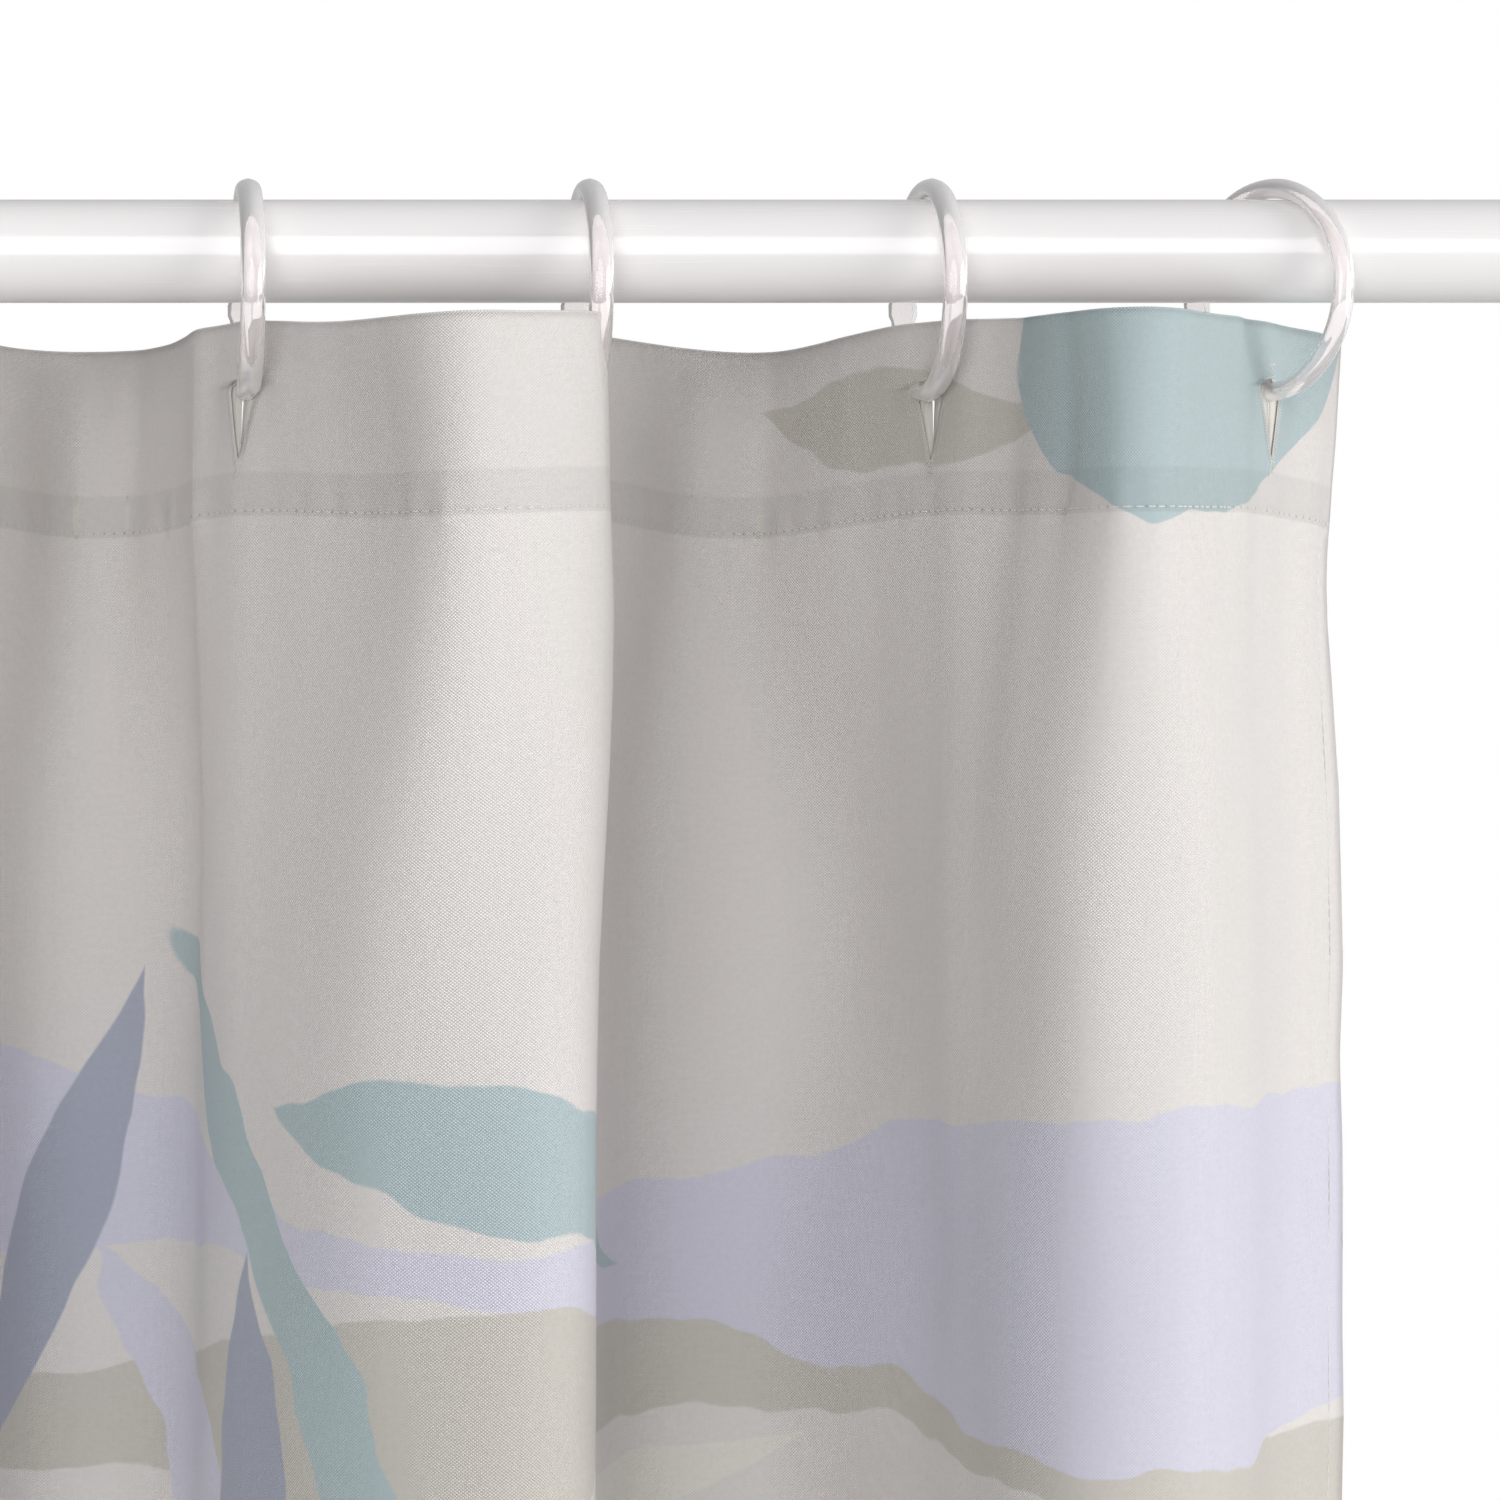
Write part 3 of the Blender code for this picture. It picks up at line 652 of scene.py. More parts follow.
@dataclass
class Drape:
    """Gathers the flat cut on its rings, and gives the hung surface at any place on the cut."""

    cut: Cut
    hanging: Hanging
    top_z: float
    per_pitch: int = 13
    margin_columns: int = 3
    rows: int = 150
    ring_ease: float = 0.13
    body_ease: float = -0.07
    leans: tuple[float, ...] = (0.004, -0.014, 0.022)
    header_sag: float = 0.0030
    wrinkle: float = 0.00030
    wrinkle_width: float = 0.08
    crease: float = 0.0030
    crease_shares: tuple[float, ...] = (0.17, 0.40, 0.60, 0.83)
    crease_tip: float = 0.0012
    crease_fade: float = 0.055
    pucker: float = 0.00018
    flap_turn: tuple[float, float] = (8.0, 22.0)
    flap_drop: float = 0.30
    flap_rounds: int = 12
    slit_width: float = 0.0062
    weight: float = 0.45
    frames: int = 50
    points: np.ndarray = field(init=False)

    def __post_init__(self) -> None:
        """Lays out the grid and hangs it."""
        self.across = self.cut.columns(len(self.hanging.xs), self.per_pitch, self.margin_columns)
        self.down = np.linspace(0.0, self.cut.length, self.rows + 1)
        self.points = self.gathered()
        self.points = self.simulated(self.points)
        self.points = self.wrinkled(self.flared(self.points))

    def half_fold(self, index: int, lean: float, ease: float) -> np.ndarray:
        """Returns the plan of the cloth between one ring and the next, as dense points of the right length.

        Args:
            index: the ring at the fold's right.
            lean: how far the fold's peak leans to the right.
            ease: how flat the cloth lies against the ring, at the cost of a sharper peak.

        Returns:
            Rows of x and y, from one ring to the next.
        """
        pitch = self.cut.pitch(len(self.hanging.xs))
        share = np.linspace(0.0, 1.0, 241)
        shape = np.sin(math.pi * share) - ease * np.sin(3 * math.pi * share)
        towards = 1.0 - share if lean > 0 else share
        x = np.interp(share, [0, 1], self.hanging.xs[index:index + 2])
        x = x + 1.7 * lean * np.sin(math.pi * share) * towards
        side = -1.0 if index % 2 == 0 else 1.0
        low, high = 0.0, pitch
        for _ in range(30):
            depth = (low + high) / 2
            y = side * depth * shape
            long = np.hypot(np.diff(x), np.diff(y)).sum()
            low, high = (depth, high) if long < pitch else (low, depth)
        return np.column_stack([x, y])

    def plan(self, ease: float) -> tuple[np.ndarray, np.ndarray]:
        """Returns x and y of every grid column for folds of one ease."""
        rng = np.random.default_rng(SEED)
        count = len(self.hanging.xs)
        leans = [*self.leans, *rng.uniform(-0.014, 0.014, count)][:count - 1]
        halves = [self.half_fold(index, lean, ease) for index, lean in enumerate(leans)]
        first, last = halves[0], halves[-1]
        lead = 2 * first[0] - first[1:61][::-1]
        trail = 2 * last[-1] - last[-61:-1][::-1]
        line = np.vstack([lead] + [half[:-1] for half in halves] + [last[-1:], trail])
        run = np.concatenate([[0.0], np.cumsum(np.hypot(*np.diff(line, axis=0).T))])
        place = self.across + run[len(lead)] - self.cut.edge_to_buttonhole
        return np.interp(place, run, line[:, 0]), np.interp(place, run, line[:, 1])

    def gathered(self) -> np.ndarray:
        """Returns the grid with upright folds that hold exactly the flat width, eased flat at the rings."""
        between = (self.across - self.cut.edge_to_buttonhole) / self.cut.pitch(len(self.hanging.xs))
        sag = self.header_sag * np.sin(math.pi * between) ** 2
        lower = smooth_step((self.down - 0.6 * self.cut.top_hem) / (2.2 * self.cut.top_hem))[:, None]
        grid = np.empty((len(self.down), len(self.across), 3))
        for axis, (top, body) in enumerate(zip(self.plan(self.ring_ease), self.plan(self.body_ease))):
            grid[:, :, axis] = top + (body - top) * lower
        grid[:, :, 2] = self.top_z - self.down[:, None] - sag[None, :]
        return grid

    def wrinkled(self, grid: np.ndarray) -> np.ndarray:
        """Adds the long soft wrinkles that cloth keeps from its folded pack, and short ones under the rings."""
        rng = np.random.default_rng(SEED + 1)
        across, down = np.meshgrid(self.across, self.down)
        relief = np.zeros_like(across)
        for _ in range(26):
            wide, tall = rng.uniform(0.040, 0.120), rng.uniform(0.45, 1.8)
            lean, phase = rng.uniform(-0.05, 0.05), rng.uniform(0, 2 * math.pi)
            wave = np.sin(2 * math.pi * (across + lean * down) / wide + phase)
            fade = np.sin(2 * math.pi * down / tall + rng.uniform(0, 2 * math.pi))
            relief += wave * fade * self.wrinkle * wide / self.wrinkle_width
        from_ring = (across - self.cut.edge_to_buttonhole) / self.cut.pitch(len(self.hanging.xs))
        near = np.exp(-((from_ring - np.rint(from_ring)) / 0.22) ** 2) * np.exp(-down / 0.16)
        spokes = np.cos(2 * math.pi * (from_ring - np.rint(from_ring)) * 5.2 + 3.0 * np.sin(2.1 * np.rint(from_ring)))
        relief += self.wrinkle * 3.0 * near * spokes
        along, fall = np.gradient(grid, axis=1), np.gradient(grid, axis=0)
        face = np.cross(along, fall)
        face /= np.linalg.norm(face, axis=-1, keepdims=True)
        return grid + face * relief[..., None]

    def flared(self, grid: np.ndarray) -> np.ndarray:
        """Swings the free edges beyond the end rings outwards, more so lower down, and eases the bend there."""
        top, low = (math.radians(angle) for angle in self.flap_turn)
        turn = top + (low - top) * smooth_step(self.down / self.flap_drop)
        cos, sin = np.cos(turn)[:, None], np.sin(turn)[:, None]
        last = grid.shape[1] - 1 - self.margin_columns
        for ring, flap, sign in ((self.margin_columns, slice(0, self.margin_columns), 1.0),
                                 (last, slice(last + 1, None), -1.0)):
            arm = grid[:, flap, :2] - grid[:, ring:ring + 1, :2]
            sense = sign if sign > 0 or grid[:, flap, 1].mean() > 0 else 1.0
            x = arm[..., 0] * cos + sense * arm[..., 1] * sin
            y = arm[..., 1] * cos - sense * arm[..., 0] * sin
            grid[:, flap, 0] = grid[:, ring:ring + 1, 0] + x
            grid[:, flap, 1] = grid[:, ring:ring + 1, 1] + y
        lower = smooth_step((self.down - 0.045) / 0.10)[:, None, None]
        from_edge = np.minimum(np.arange(1, grid.shape[1] - 1), np.arange(grid.shape[1] - 2, 0, -1))
        beside = smooth_step((2.5 * self.margin_columns - from_edge) / self.margin_columns)[None, :, None]
        for _ in range(self.flap_rounds):
            middle = (grid[:, :-2] + grid[:, 2:]) / 2 - grid[:, 1:-1]
            grid[:, 1:-1] += 0.6 * lower * beside * middle
        return grid

    @staticmethod
    def smoothed(grid: np.ndarray, rounds: int = 4) -> np.ndarray:
        """Takes the grid's own facets out of the folds without shrinking them."""
        for step in [0.5, -0.53] * rounds:
            middle = (grid[:, :-2] + grid[:, 2:]) / 2 - grid[:, 1:-1]
            grid[:, 1:-1] += step * middle
            middle = (grid[:-2] + grid[2:]) / 2 - grid[1:-1]
            grid[1:-1] += step * middle
        return grid

    def simulated(self, start: np.ndarray) -> np.ndarray:
        """Lets the cloth hang from its rings.

        Args:
            start: the gathered grid.

        Returns:
            The same grid, hung.
        """
        rows, columns = start.shape[:2]
        count = rows * columns
        numbers = np.arange(count).reshape(rows, columns)
        faces = np.stack([numbers[:-1, :-1], numbers[1:, :-1], numbers[1:, 1:], numbers[:-1, 1:]], -1).reshape(-1, 4)
        mesh = bpy.data.meshes.new("hanging_cloth")
        mesh.from_pydata(start.reshape(-1, 3).tolist(), [], faces.tolist())
        cloth = bpy.data.objects.new("hanging_cloth", mesh)
        bpy.context.scene.collection.objects.link(cloth)
        cloth.shape_key_add(name="hung")
        flat = cloth.shape_key_add(name="flat")
        across, down = np.meshgrid(self.across, self.down)
        laid = np.column_stack([-across.ravel(), np.zeros(count), self.top_z - down.ravel()])
        flat.data.foreach_set("co", laid.astype(np.float32).ravel())

        held = cloth.vertex_groups.new(name="held")
        pins = self.per_pitch * np.arange(len(self.hanging.xs)) + self.margin_columns
        header = int(np.searchsorted(self.down, self.cut.top_hem))
        for row in range(header + 1):
            weight = 0.12 * (1.0 - row / (header + 1))
            held.add(numbers[row].tolist(), weight, "REPLACE")
        eyelet = int(np.argmin(np.abs(self.down - self.cut.slit_top)))
        held.add(numbers[eyelet, pins].tolist(), 1.0, "REPLACE")
        stiff = cloth.vertex_groups.new(name="stiff")
        stiff.add(numbers[:header + 1].ravel().tolist(), 1.0, "REPLACE")

        modifier = cloth.modifiers.new("Hang", "CLOTH")
        settings = modifier.settings
        values = {"quality": 6, "mass": self.weight / count, "tension_stiffness": 12.0, "compression_stiffness": 12.0,
                  "shear_stiffness": 3.0, "bending_stiffness": 0.002, "bending_stiffness_max": 0.02,
                  "vertex_group_bending": "stiff", "tension_damping": 3.0, "compression_damping": 3.0,
                  "shear_damping": 3.0, "bending_damping": 0.2, "air_damping": 1.5,
                  "vertex_group_mass": "held", "pin_stiffness": 1.0}
        for name, value in values.items():
            setattr(settings, name, value)
        settings.rest_shape_key = flat
        modifier.collision_settings.use_collision = False
        modifier.collision_settings.use_self_collision = False
        scene = bpy.context.scene
        modifier.point_cache.frame_start, modifier.point_cache.frame_end = 1, self.frames
        for number in range(1, self.frames + 1):
            scene.frame_set(number)
        result = cloth.evaluated_get(bpy.context.evaluated_depsgraph_get())
        hung = np.empty(count * 3, np.float32)
        result.data.vertices.foreach_get("co", hung)
        scene.frame_set(1)
        bpy.data.objects.remove(cloth, do_unlink=True)
        return self.smoothed(hung.reshape(rows, columns, 3).astype(float))

    @staticmethod
    def weights(share: np.ndarray) -> np.ndarray:
        """Returns Catmull-Rom weights of the four neighbours of each share from 0 to 1."""
        s, s2, s3 = share, share ** 2, share ** 3
        return np.stack([-s + 2 * s2 - s3, 2 - 5 * s2 + 3 * s3, s + 4 * s2 - 3 * s3, -s2 + s3]) / 2

    def surface(self, across: np.ndarray, down: np.ndarray) -> np.ndarray:
        """Returns the hung points of places on the cut, which may be arrays of any one shape."""
        rows, columns = self.points.shape[:2]
        grid = np.pad(self.points, ((1, 1), (1, 1), (0, 0)), mode="reflect", reflect_type="odd")
        i = np.interp(across, self.across, np.arange(columns))
        j = np.interp(down, self.down, np.arange(rows))
        i = i + np.minimum(across - self.across[0], 0) / (self.across[1] - self.across[0])
        j = j + np.minimum(down - self.down[0], 0) / (self.down[1] - self.down[0])
        i0 = np.clip(np.floor(i).astype(int), 0, columns - 2)
        j0 = np.clip(np.floor(j).astype(int), 0, rows - 2)
        wi, wj = self.weights(i - i0), self.weights(j - j0)
        total = np.zeros(np.shape(across) + (3,))
        for a in range(4):
            for b in range(4):
                total += (wj[a] * wi[b])[..., None] * grid[j0 + a, i0 + b]
        return total

    def normal(self, across: np.ndarray, down: np.ndarray) -> np.ndarray:
        """Returns the directions in which the printed side faces."""
        step = 0.0008
        along = self.surface(across + step, down) - self.surface(across - step, down)
        fall = self.surface(across, down + step) - self.surface(across, down - step)
        face = np.cross(along, fall)
        return face / np.linalg.norm(face, axis=-1, keepdims=True)

    def at(self, across: np.ndarray, down: np.ndarray, out: np.ndarray | float = 0.0,
           gape: float = 1.0) -> np.ndarray:
        """Returns points on the hung cloth.

        Args:
            across: places from the cut's right edge.
            down: places from its top edge.
            out: how far out of the printed side the points lie.
            gape: how far this layer's slits open, as a share of the printed layer's.

        Returns:
            One point for each place.
        """
        across, down = np.broadcast_arrays(np.asarray(across, float), np.asarray(down, float))
        spread = self.opened(across, down, gape)
        out = np.broadcast_to(np.asarray(out, float), across.shape) + self.relief(across, down)
        return self.surface(spread, down) + self.normal(spread, down) * out[..., None]

    def relief(self, across: np.ndarray, down: np.ndarray) -> np.ndarray:
        """Returns the height of the header's pressed creases and of the puckers that the seam draws in."""
        rng = np.random.default_rng(SEED + 2)
        pitch = self.cut.pitch(len(self.hanging.xs))
        seam = self.cut.seam
        past = np.maximum(down - seam, 0.0)
        total = np.zeros_like(across)
        fade = np.exp(-past / self.crease_fade)
        for index in range(-1, len(self.hanging.xs)):
            for share in self.crease_shares:
                place = self.cut.edge_to_buttonhole + (index + share + rng.uniform(-0.06, 0.06)) * pitch
                height, wide = rng.uniform(-1.0, 1.0) * self.crease, rng.uniform(0.006, 0.012)
                slant = rng.uniform(-0.10, 0.10)
                away = np.sqrt((across - place - slant * down) ** 2 + self.crease_tip ** 2) - self.crease_tip
                total += height * np.exp(-away / wide) * fade
        gathers = np.zeros_like(across)
        for _ in range(9):
            length, phase = rng.uniform(0.009, 0.026), rng.uniform(0, 2 * math.pi)
            swell = np.sin(2 * math.pi * across / rng.uniform(0.11, 0.31) + rng.uniform(0, 2 * math.pi))
            gathers += np.sin(2 * math.pi * across / length + phase) * swell
        near = np.exp(-((seam - np.minimum(down, seam)) / 0.007) ** 2) * np.exp(-past / 0.011)
        return total + self.pucker * gathers * near

    def opened(self, across: np.ndarray, down: np.ndarray, gape: float) -> np.ndarray:
        """Moves places beside a slit apart, as far as the ring's wire holds it open."""
        count = len(self.hanging.xs)
        pitch = self.cut.pitch(count)
        index = np.clip(np.rint((across - self.cut.edge_to_buttonhole) / pitch), 0, count - 1)
        away = across - (self.cut.edge_to_buttonhole + index * pitch)
        gap = self.slit_gap(down - self.cut.slit_top)
        fade = 1.0 - smooth_step((np.abs(away) - 0.0002) / 0.016)
        return across + np.sign(away) * gap * gape * fade

    def slit_gap(self, below: np.ndarray) -> np.ndarray:
        """Returns half the opening of a slit, this far below its top: a V that hangs from the wire."""
        share = np.clip(below / self.cut.slit_length, 0.0, 1.0)
        crown = np.sqrt(np.clip(share / 0.12, 0.0, 1.0))
        return self.slit_width * crown * (1.0 - share) ** 0.9


# ----------------------------------------------------------------------------------------- the curtain


def thick_sheet(name: str, front: np.ndarray, back: np.ndarray, faces: Sequence[Sequence[int]],
                flat: np.ndarray) -> bpy.types.Object:
    """Makes a sheet of cloth with two sides and a rim.

    Args:
        name: the piece's name.
        front: points of the printed side.
        back: points of the reverse, in the same order.
        faces: faces of the printed side, turned outwards.
        flat: where each point lies on the cut.

    Returns:
        The sheet, with slot 0 on its front and slot 1 on its reverse and rim.
    """
    count = len(front)
    edges: dict[tuple[int, int], int] = {}
    for face in faces:
        for a, b in zip(face, list(face[1:]) + [face[0]]):
            edges[(a, b)] = 1
    rim = [(a, b) for a, b in edges if (b, a) not in edges]
    all_faces = [list(face) for face in faces]
    all_faces += [[face[0] + count] + [v + count for v in reversed(face[1:])] for face in faces]
    all_faces += [[b, a, a + count, b + count] for a, b in rim]
    slots = [0] * len(faces) + [1] * (len(faces) + len(rim))
    return make_piece(name, np.vstack([front, back]), all_faces, np.vstack([flat, flat]), slots)


@dataclass
class Cloth:
    """The sewn curtain: its panel, hems, seams and buttonholes."""

    drape: Drape
    fine_per_pitch: int = 60
    fine_margin: int = 16
    layer_gap: float = 0.00006
    stitch_pitch: float = 0.0031
    thread_radius: float = 0.00019
    turned_gape: float = 0.12
    pieces: list[bpy.types.Object] = field(default_factory=list)

    def fine_columns(self) -> np.ndarray:
        """Returns the columns of the finest cloth, close enough for the slits and the seam."""
        return self.drape.cut.columns(len(self.drape.hanging.xs), self.fine_per_pitch, self.fine_margin)

    def header_rows(self) -> np.ndarray:
        """Returns places down the header, with rows at both ends of the slits and at the seam."""
        cut = self.drape.cut
        seam = cut.seam
        slit_end = cut.slit_top + cut.slit_length
        return np.concatenate([np.linspace(0.0, cut.slit_top, 7)[:-1], np.linspace(cut.slit_top, slit_end, 12)[:-1],
                               np.linspace(slit_end, seam, 7)])

    def grid_faces(self, numbers: np.ndarray) -> list[list[int]]:
        """Returns the quads of a grid of vertex numbers, turned to the printed side."""
        quads = np.stack([numbers[:-1, :-1], numbers[:-1, 1:], numbers[1:, 1:], numbers[1:, :-1]], -1)
        return quads.reshape(-1, 4).tolist()

    def slit_grid(self, across: np.ndarray, down: np.ndarray) -> tuple[np.ndarray, list[list[int]]]:
        """Lays out a fine grid whose columns part along the slits.

        Args:
            across: the grid's columns.
            down: its rows.

        Returns:
            Places on the cut, one row each, and the faces.
        """
        cut, count = self.drape.cut, len(self.drape.hanging.xs)
        hair = 0.00001
        places = np.stack(np.meshgrid(across, down), -1).reshape(-1, 2)
        numbers = np.arange(len(places)).reshape(len(down), len(across))
        faces = []
        extra: list[list[float]] = []
        holes = cut.edge_to_buttonhole + np.arange(count) * cut.pitch(count)
        slit_rows = [r for r, v in enumerate(down) if cut.slit_top + hair < v < cut.slit_top + cut.slit_length - hair]
        left_copy: dict[int, int] = {}
        for hole in holes:
            column = int(np.argmin(np.abs(across - hole)))
            for row in slit_rows:
                left_copy[numbers[row, column]] = len(places) + len(extra)
                extra.append([across[column] + hair, down[row]])
                places[numbers[row, column], 0] = across[column] - hair
        hole_columns = {int(np.argmin(np.abs(across - hole))) for hole in holes}
        for row in range(len(down) - 1):
            for column in range(len(across) - 1):
                face = [numbers[row, column], numbers[row, column + 1], numbers[row + 1, column + 1],
                        numbers[row + 1, column]]
                if column in hole_columns:
                    face = [left_copy.get(face[0], face[0]), face[1], face[2], left_copy.get(face[3], face[3])]
                faces.append([int(v) for v in face])
        return np.vstack([places, np.array(extra)]), faces

    def panel(self) -> bpy.types.Object:
        """Builds the printed panel, with a fine header that joins a coarser body at the seam."""
        cut, drape = self.drape.cut, self.drape
        fine = self.fine_columns()
        coarse = fine[::2]
        rows = self.header_rows()
        places, faces = self.slit_grid(fine, rows)
        seam = rows[-1]
        body = seam + np.concatenate([np.array([0.004, 0.009, 0.016, 0.026]),
                                      np.linspace(0.044, cut.length - seam, 80)])
        start = len(places)
        more = np.stack(np.meshgrid(coarse, body), -1).reshape(-1, 2)
        numbers = start + np.arange(len(more)).reshape(len(body), len(coarse))
        last = (len(rows) - 1) * len(fine)
        for column in range(len(coarse) - 1):
            top = last + 2 * column
            faces.append([top, top + 1, top + 2, int(numbers[0, column + 1]), int(numbers[0, column])])
        faces += self.grid_faces(numbers)
        places = np.vstack([places, more])
        half = cut.thickness / 2
        front = drape.at(places[:, 0], places[:, 1], half)
        back = drape.at(places[:, 0], places[:, 1], -half)
        return thick_sheet("curtain_cloth", front, back, faces, places)

    def strip(self, name: str, across: np.ndarray, down: np.ndarray, out: np.ndarray,
              slits: bool = False) -> bpy.types.Object:
        """Builds a turned hem from grids of places and distances out of the cloth."""
        half = self.drape.cut.thickness / 2
        if slits:
            places, faces = self.slit_grid(across[0], down[:, 0])
            lift = np.interp(places[:, 1], down[:, 0], out[:, 0])
            front = self.drape.at(places[:, 0], places[:, 1], lift + half, self.turned_gape)
            back = self.drape.at(places[:, 0], places[:, 1], lift - half, self.turned_gape)
            return thick_sheet(name, front, back, faces, places)
        numbers = np.arange(across.size).reshape(across.shape)
        places = np.column_stack([across.ravel(), down.ravel()])
        middle = self.drape.at(across, down, out)
        along = np.gradient(middle, axis=1)
        fall = np.gradient(middle, axis=0)
        face = np.cross(along, fall)
        face /= np.maximum(np.linalg.norm(face, axis=-1, keepdims=True), 1e-12)
        front, back = (middle + face * half).reshape(-1, 3), (middle - face * half).reshape(-1, 3)
        return thick_sheet(name, front, back, self.grid_faces(numbers), places)

    def hems(self) -> dict[str, bpy.types.Object]:
        """Builds the turned hems behind the panel."""
        cut = self.drape.cut
        layer = cut.thickness + self.layer_gap
        fine = self.fine_columns()
        coarse = fine[::2]
        made = {}
        rows = np.concatenate([self.header_rows()[1:], [cut.top_hem]])
        across, down = np.meshgrid(fine, rows)
        made["top_hem"] = self.strip("top_hem_turn", across, down, np.full_like(down, -2 * layer), slits=True)
        lip = np.array([[0.0026, -2 * layer], [0.0008, -2 * layer], [-0.0001, -1.7 * layer], [-0.0004, -layer],
                        [-0.0003, -0.3 * layer], [0.0, 0.0]])
        across, down = np.meshgrid(fine, lip[:, 0])
        out = np.repeat(lip[:, 1:], len(fine), axis=1)
        made["top_edge"] = self.strip("top_edge_roll", across, down, out)
        across, down = np.meshgrid(coarse, np.linspace(cut.top_hem - cut.allowance, cut.top_hem, 4))
        made["top_hem_allowance"] = self.strip("top_hem_fold_in", across, down, np.full_like(down, -layer))
        base = cut.length
        heel = np.array([[base, 0.0], [base + 0.0003, -0.3 * layer], [base + 0.0004, -layer],
                         [base + 0.0001, -1.7 * layer], [base - 0.001, -2 * layer],
                         [base - cut.bottom_hem / 2, -2 * layer], [base - cut.bottom_hem, -2 * layer]])
        across, down = np.meshgrid(coarse, heel[::-1, 0])
        out = np.repeat(heel[::-1, 1:], len(coarse), axis=1)
        made["bottom_hem"] = self.strip("bottom_hem_turn", across, down, out)
        tall = np.linspace(cut.top_hem + 0.0006, base - cut.bottom_hem - 0.0006, 120)
        for side, name in ((0.0, "right_side_hem"), (cut.width, "left_side_hem")):
            inwards = 1.0 if side == 0.0 else -1.0
            turn = np.array([[0.0, 0.0], [-0.0003, -0.3 * layer], [-0.0004, -layer], [-0.0001, -1.7 * layer],
                             [0.001, -2 * layer], [cut.side_hem / 2, -2 * layer], [cut.side_hem, -2 * layer]])
            if inwards < 0:
                turn = turn[::-1]
            across = np.repeat((side + inwards * turn[:, 0])[None, :], len(tall), axis=0)
            out = np.repeat(turn[None, :, 1], len(tall), axis=0)
            down = np.repeat(tall[:, None], len(turn), axis=1)
            made[name] = self.strip(f"{name}_turn", across, down, out)
        return made

    def seam(self, name: str, across: np.ndarray, down: np.ndarray, material: bpy.types.Material) -> bpy.types.Object:
        """Sews a line of stitches along places on the cut."""
        lift = self.drape.cut.thickness / 2 + self.thread_radius * 0.2
        path = self.drape.at(across, down, lift)
        return sewn_line(name, path, self.stitch_pitch, self.thread_radius, material)

    def buttonhole(self, index: int, material: bpy.types.Material) -> bpy.types.Object:
        """Sews the zigzag round one slit, down one side and up the other, with a bar at each end."""
        cut, drape = self.drape.cut, self.drape
        hole = cut.edge_to_buttonhole + index * cut.pitch(len(drape.hanging.xs))
        inner, outer, spacing, bar = 0.00005, 0.0017, 0.00074, 0.0019
        count = int(cut.slit_length / spacing)
        path: list[tuple[float, float, float]] = []
        lift = cut.thickness / 2 + self.thread_radius * 0.6
        for side in (-1.0, 1.0):
            order = range(count + 1) if side < 0 else range(count, -1, -1)
            for step in order:
                down = cut.slit_top + cut.slit_length * step / count
                path.append((hole + side * inner, down, lift * 0.4))
                path.append((hole + side * outer, down + spacing / 2, lift))
            if side < 0:
                for step in range(6):
                    across = hole + (-1.0 if step % 2 == 0 else 1.0) * bar
                    path.append((across, cut.slit_top + cut.slit_length + 0.0003 + step * spacing, lift))
        for step in range(6):
            across = hole + (1.0 if step % 2 == 0 else -1.0) * bar
            path.append((across, cut.slit_top - 0.0003 - step * spacing, lift))
        places = np.array(path)
        return thread_tube(f"buttonhole_stitch_{index + 1:02d}", drape.at(places[:, 0], places[:, 1], places[:, 2]),
                           self.thread_radius, material)

    def build(self) -> None:
        """Makes every cloth piece, dresses it and ties it to the frame."""
        cut = self.drape.cut
        front, reverse = WovenPrint().make(), WovenPrint(name="woven_reverse", printed=False).make()
        thread = Thread().make()
        panel = self.panel()
        self.dress(panel, (front, reverse), ["curtain_panel"], "printed_cloth")
        hems = self.hems()
        for node, piece in hems.items():
            nodes = [] if node == "top_edge" else [node]
            both = (front, front) if node == "top_edge" else (reverse, reverse)
            self.dress(piece, both, nodes, "printed_cloth")
        wide = np.linspace(0.002, cut.width - 0.002, 900)
        tall = np.linspace(cut.top_hem + 0.001, cut.length - cut.bottom_hem, 400)
        lines = [
            ("top_hem_thread", wide, np.full_like(wide, cut.seam)),
            ("bottom_hem_thread", wide, np.full_like(wide, cut.length - cut.bottom_hem + cut.stitch_inset)),
            ("right_hem_thread", np.full_like(tall, cut.side_hem - cut.stitch_inset), tall),
            ("left_hem_thread", np.full_like(tall, cut.width - cut.side_hem + cut.stitch_inset), tall),
        ]
        for node, across, down in lines:
            piece = self.seam(node.replace("_thread", "_stitches"), across, down, thread)
            self.dress(piece, (), [node], "sewing_thread")
        for index in range(len(self.drape.hanging.xs)):
            piece = self.buttonhole(index, thread)
            self.dress(piece, (), [f"buttonhole_{index + 1:02d}"], "sewing_thread")

    def dress(self, piece: bpy.types.Object, materials: Sequence[bpy.types.Material], nodes: Sequence[str],
              slot: str) -> None:
        """Gives a cloth piece its materials, and makes it hang and gather with the curtain."""
        for material in materials:
            piece.data.materials.append(material)
        if nodes:
            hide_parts(*nodes)
        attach(piece, "curtain")
        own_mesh(piece)
        self.pieces.append(piece)
        LOG.info("%s: %d vertices", piece.name, len(piece.data.vertices))


# ------------------------------------------------------------------------------------- geometry nodes


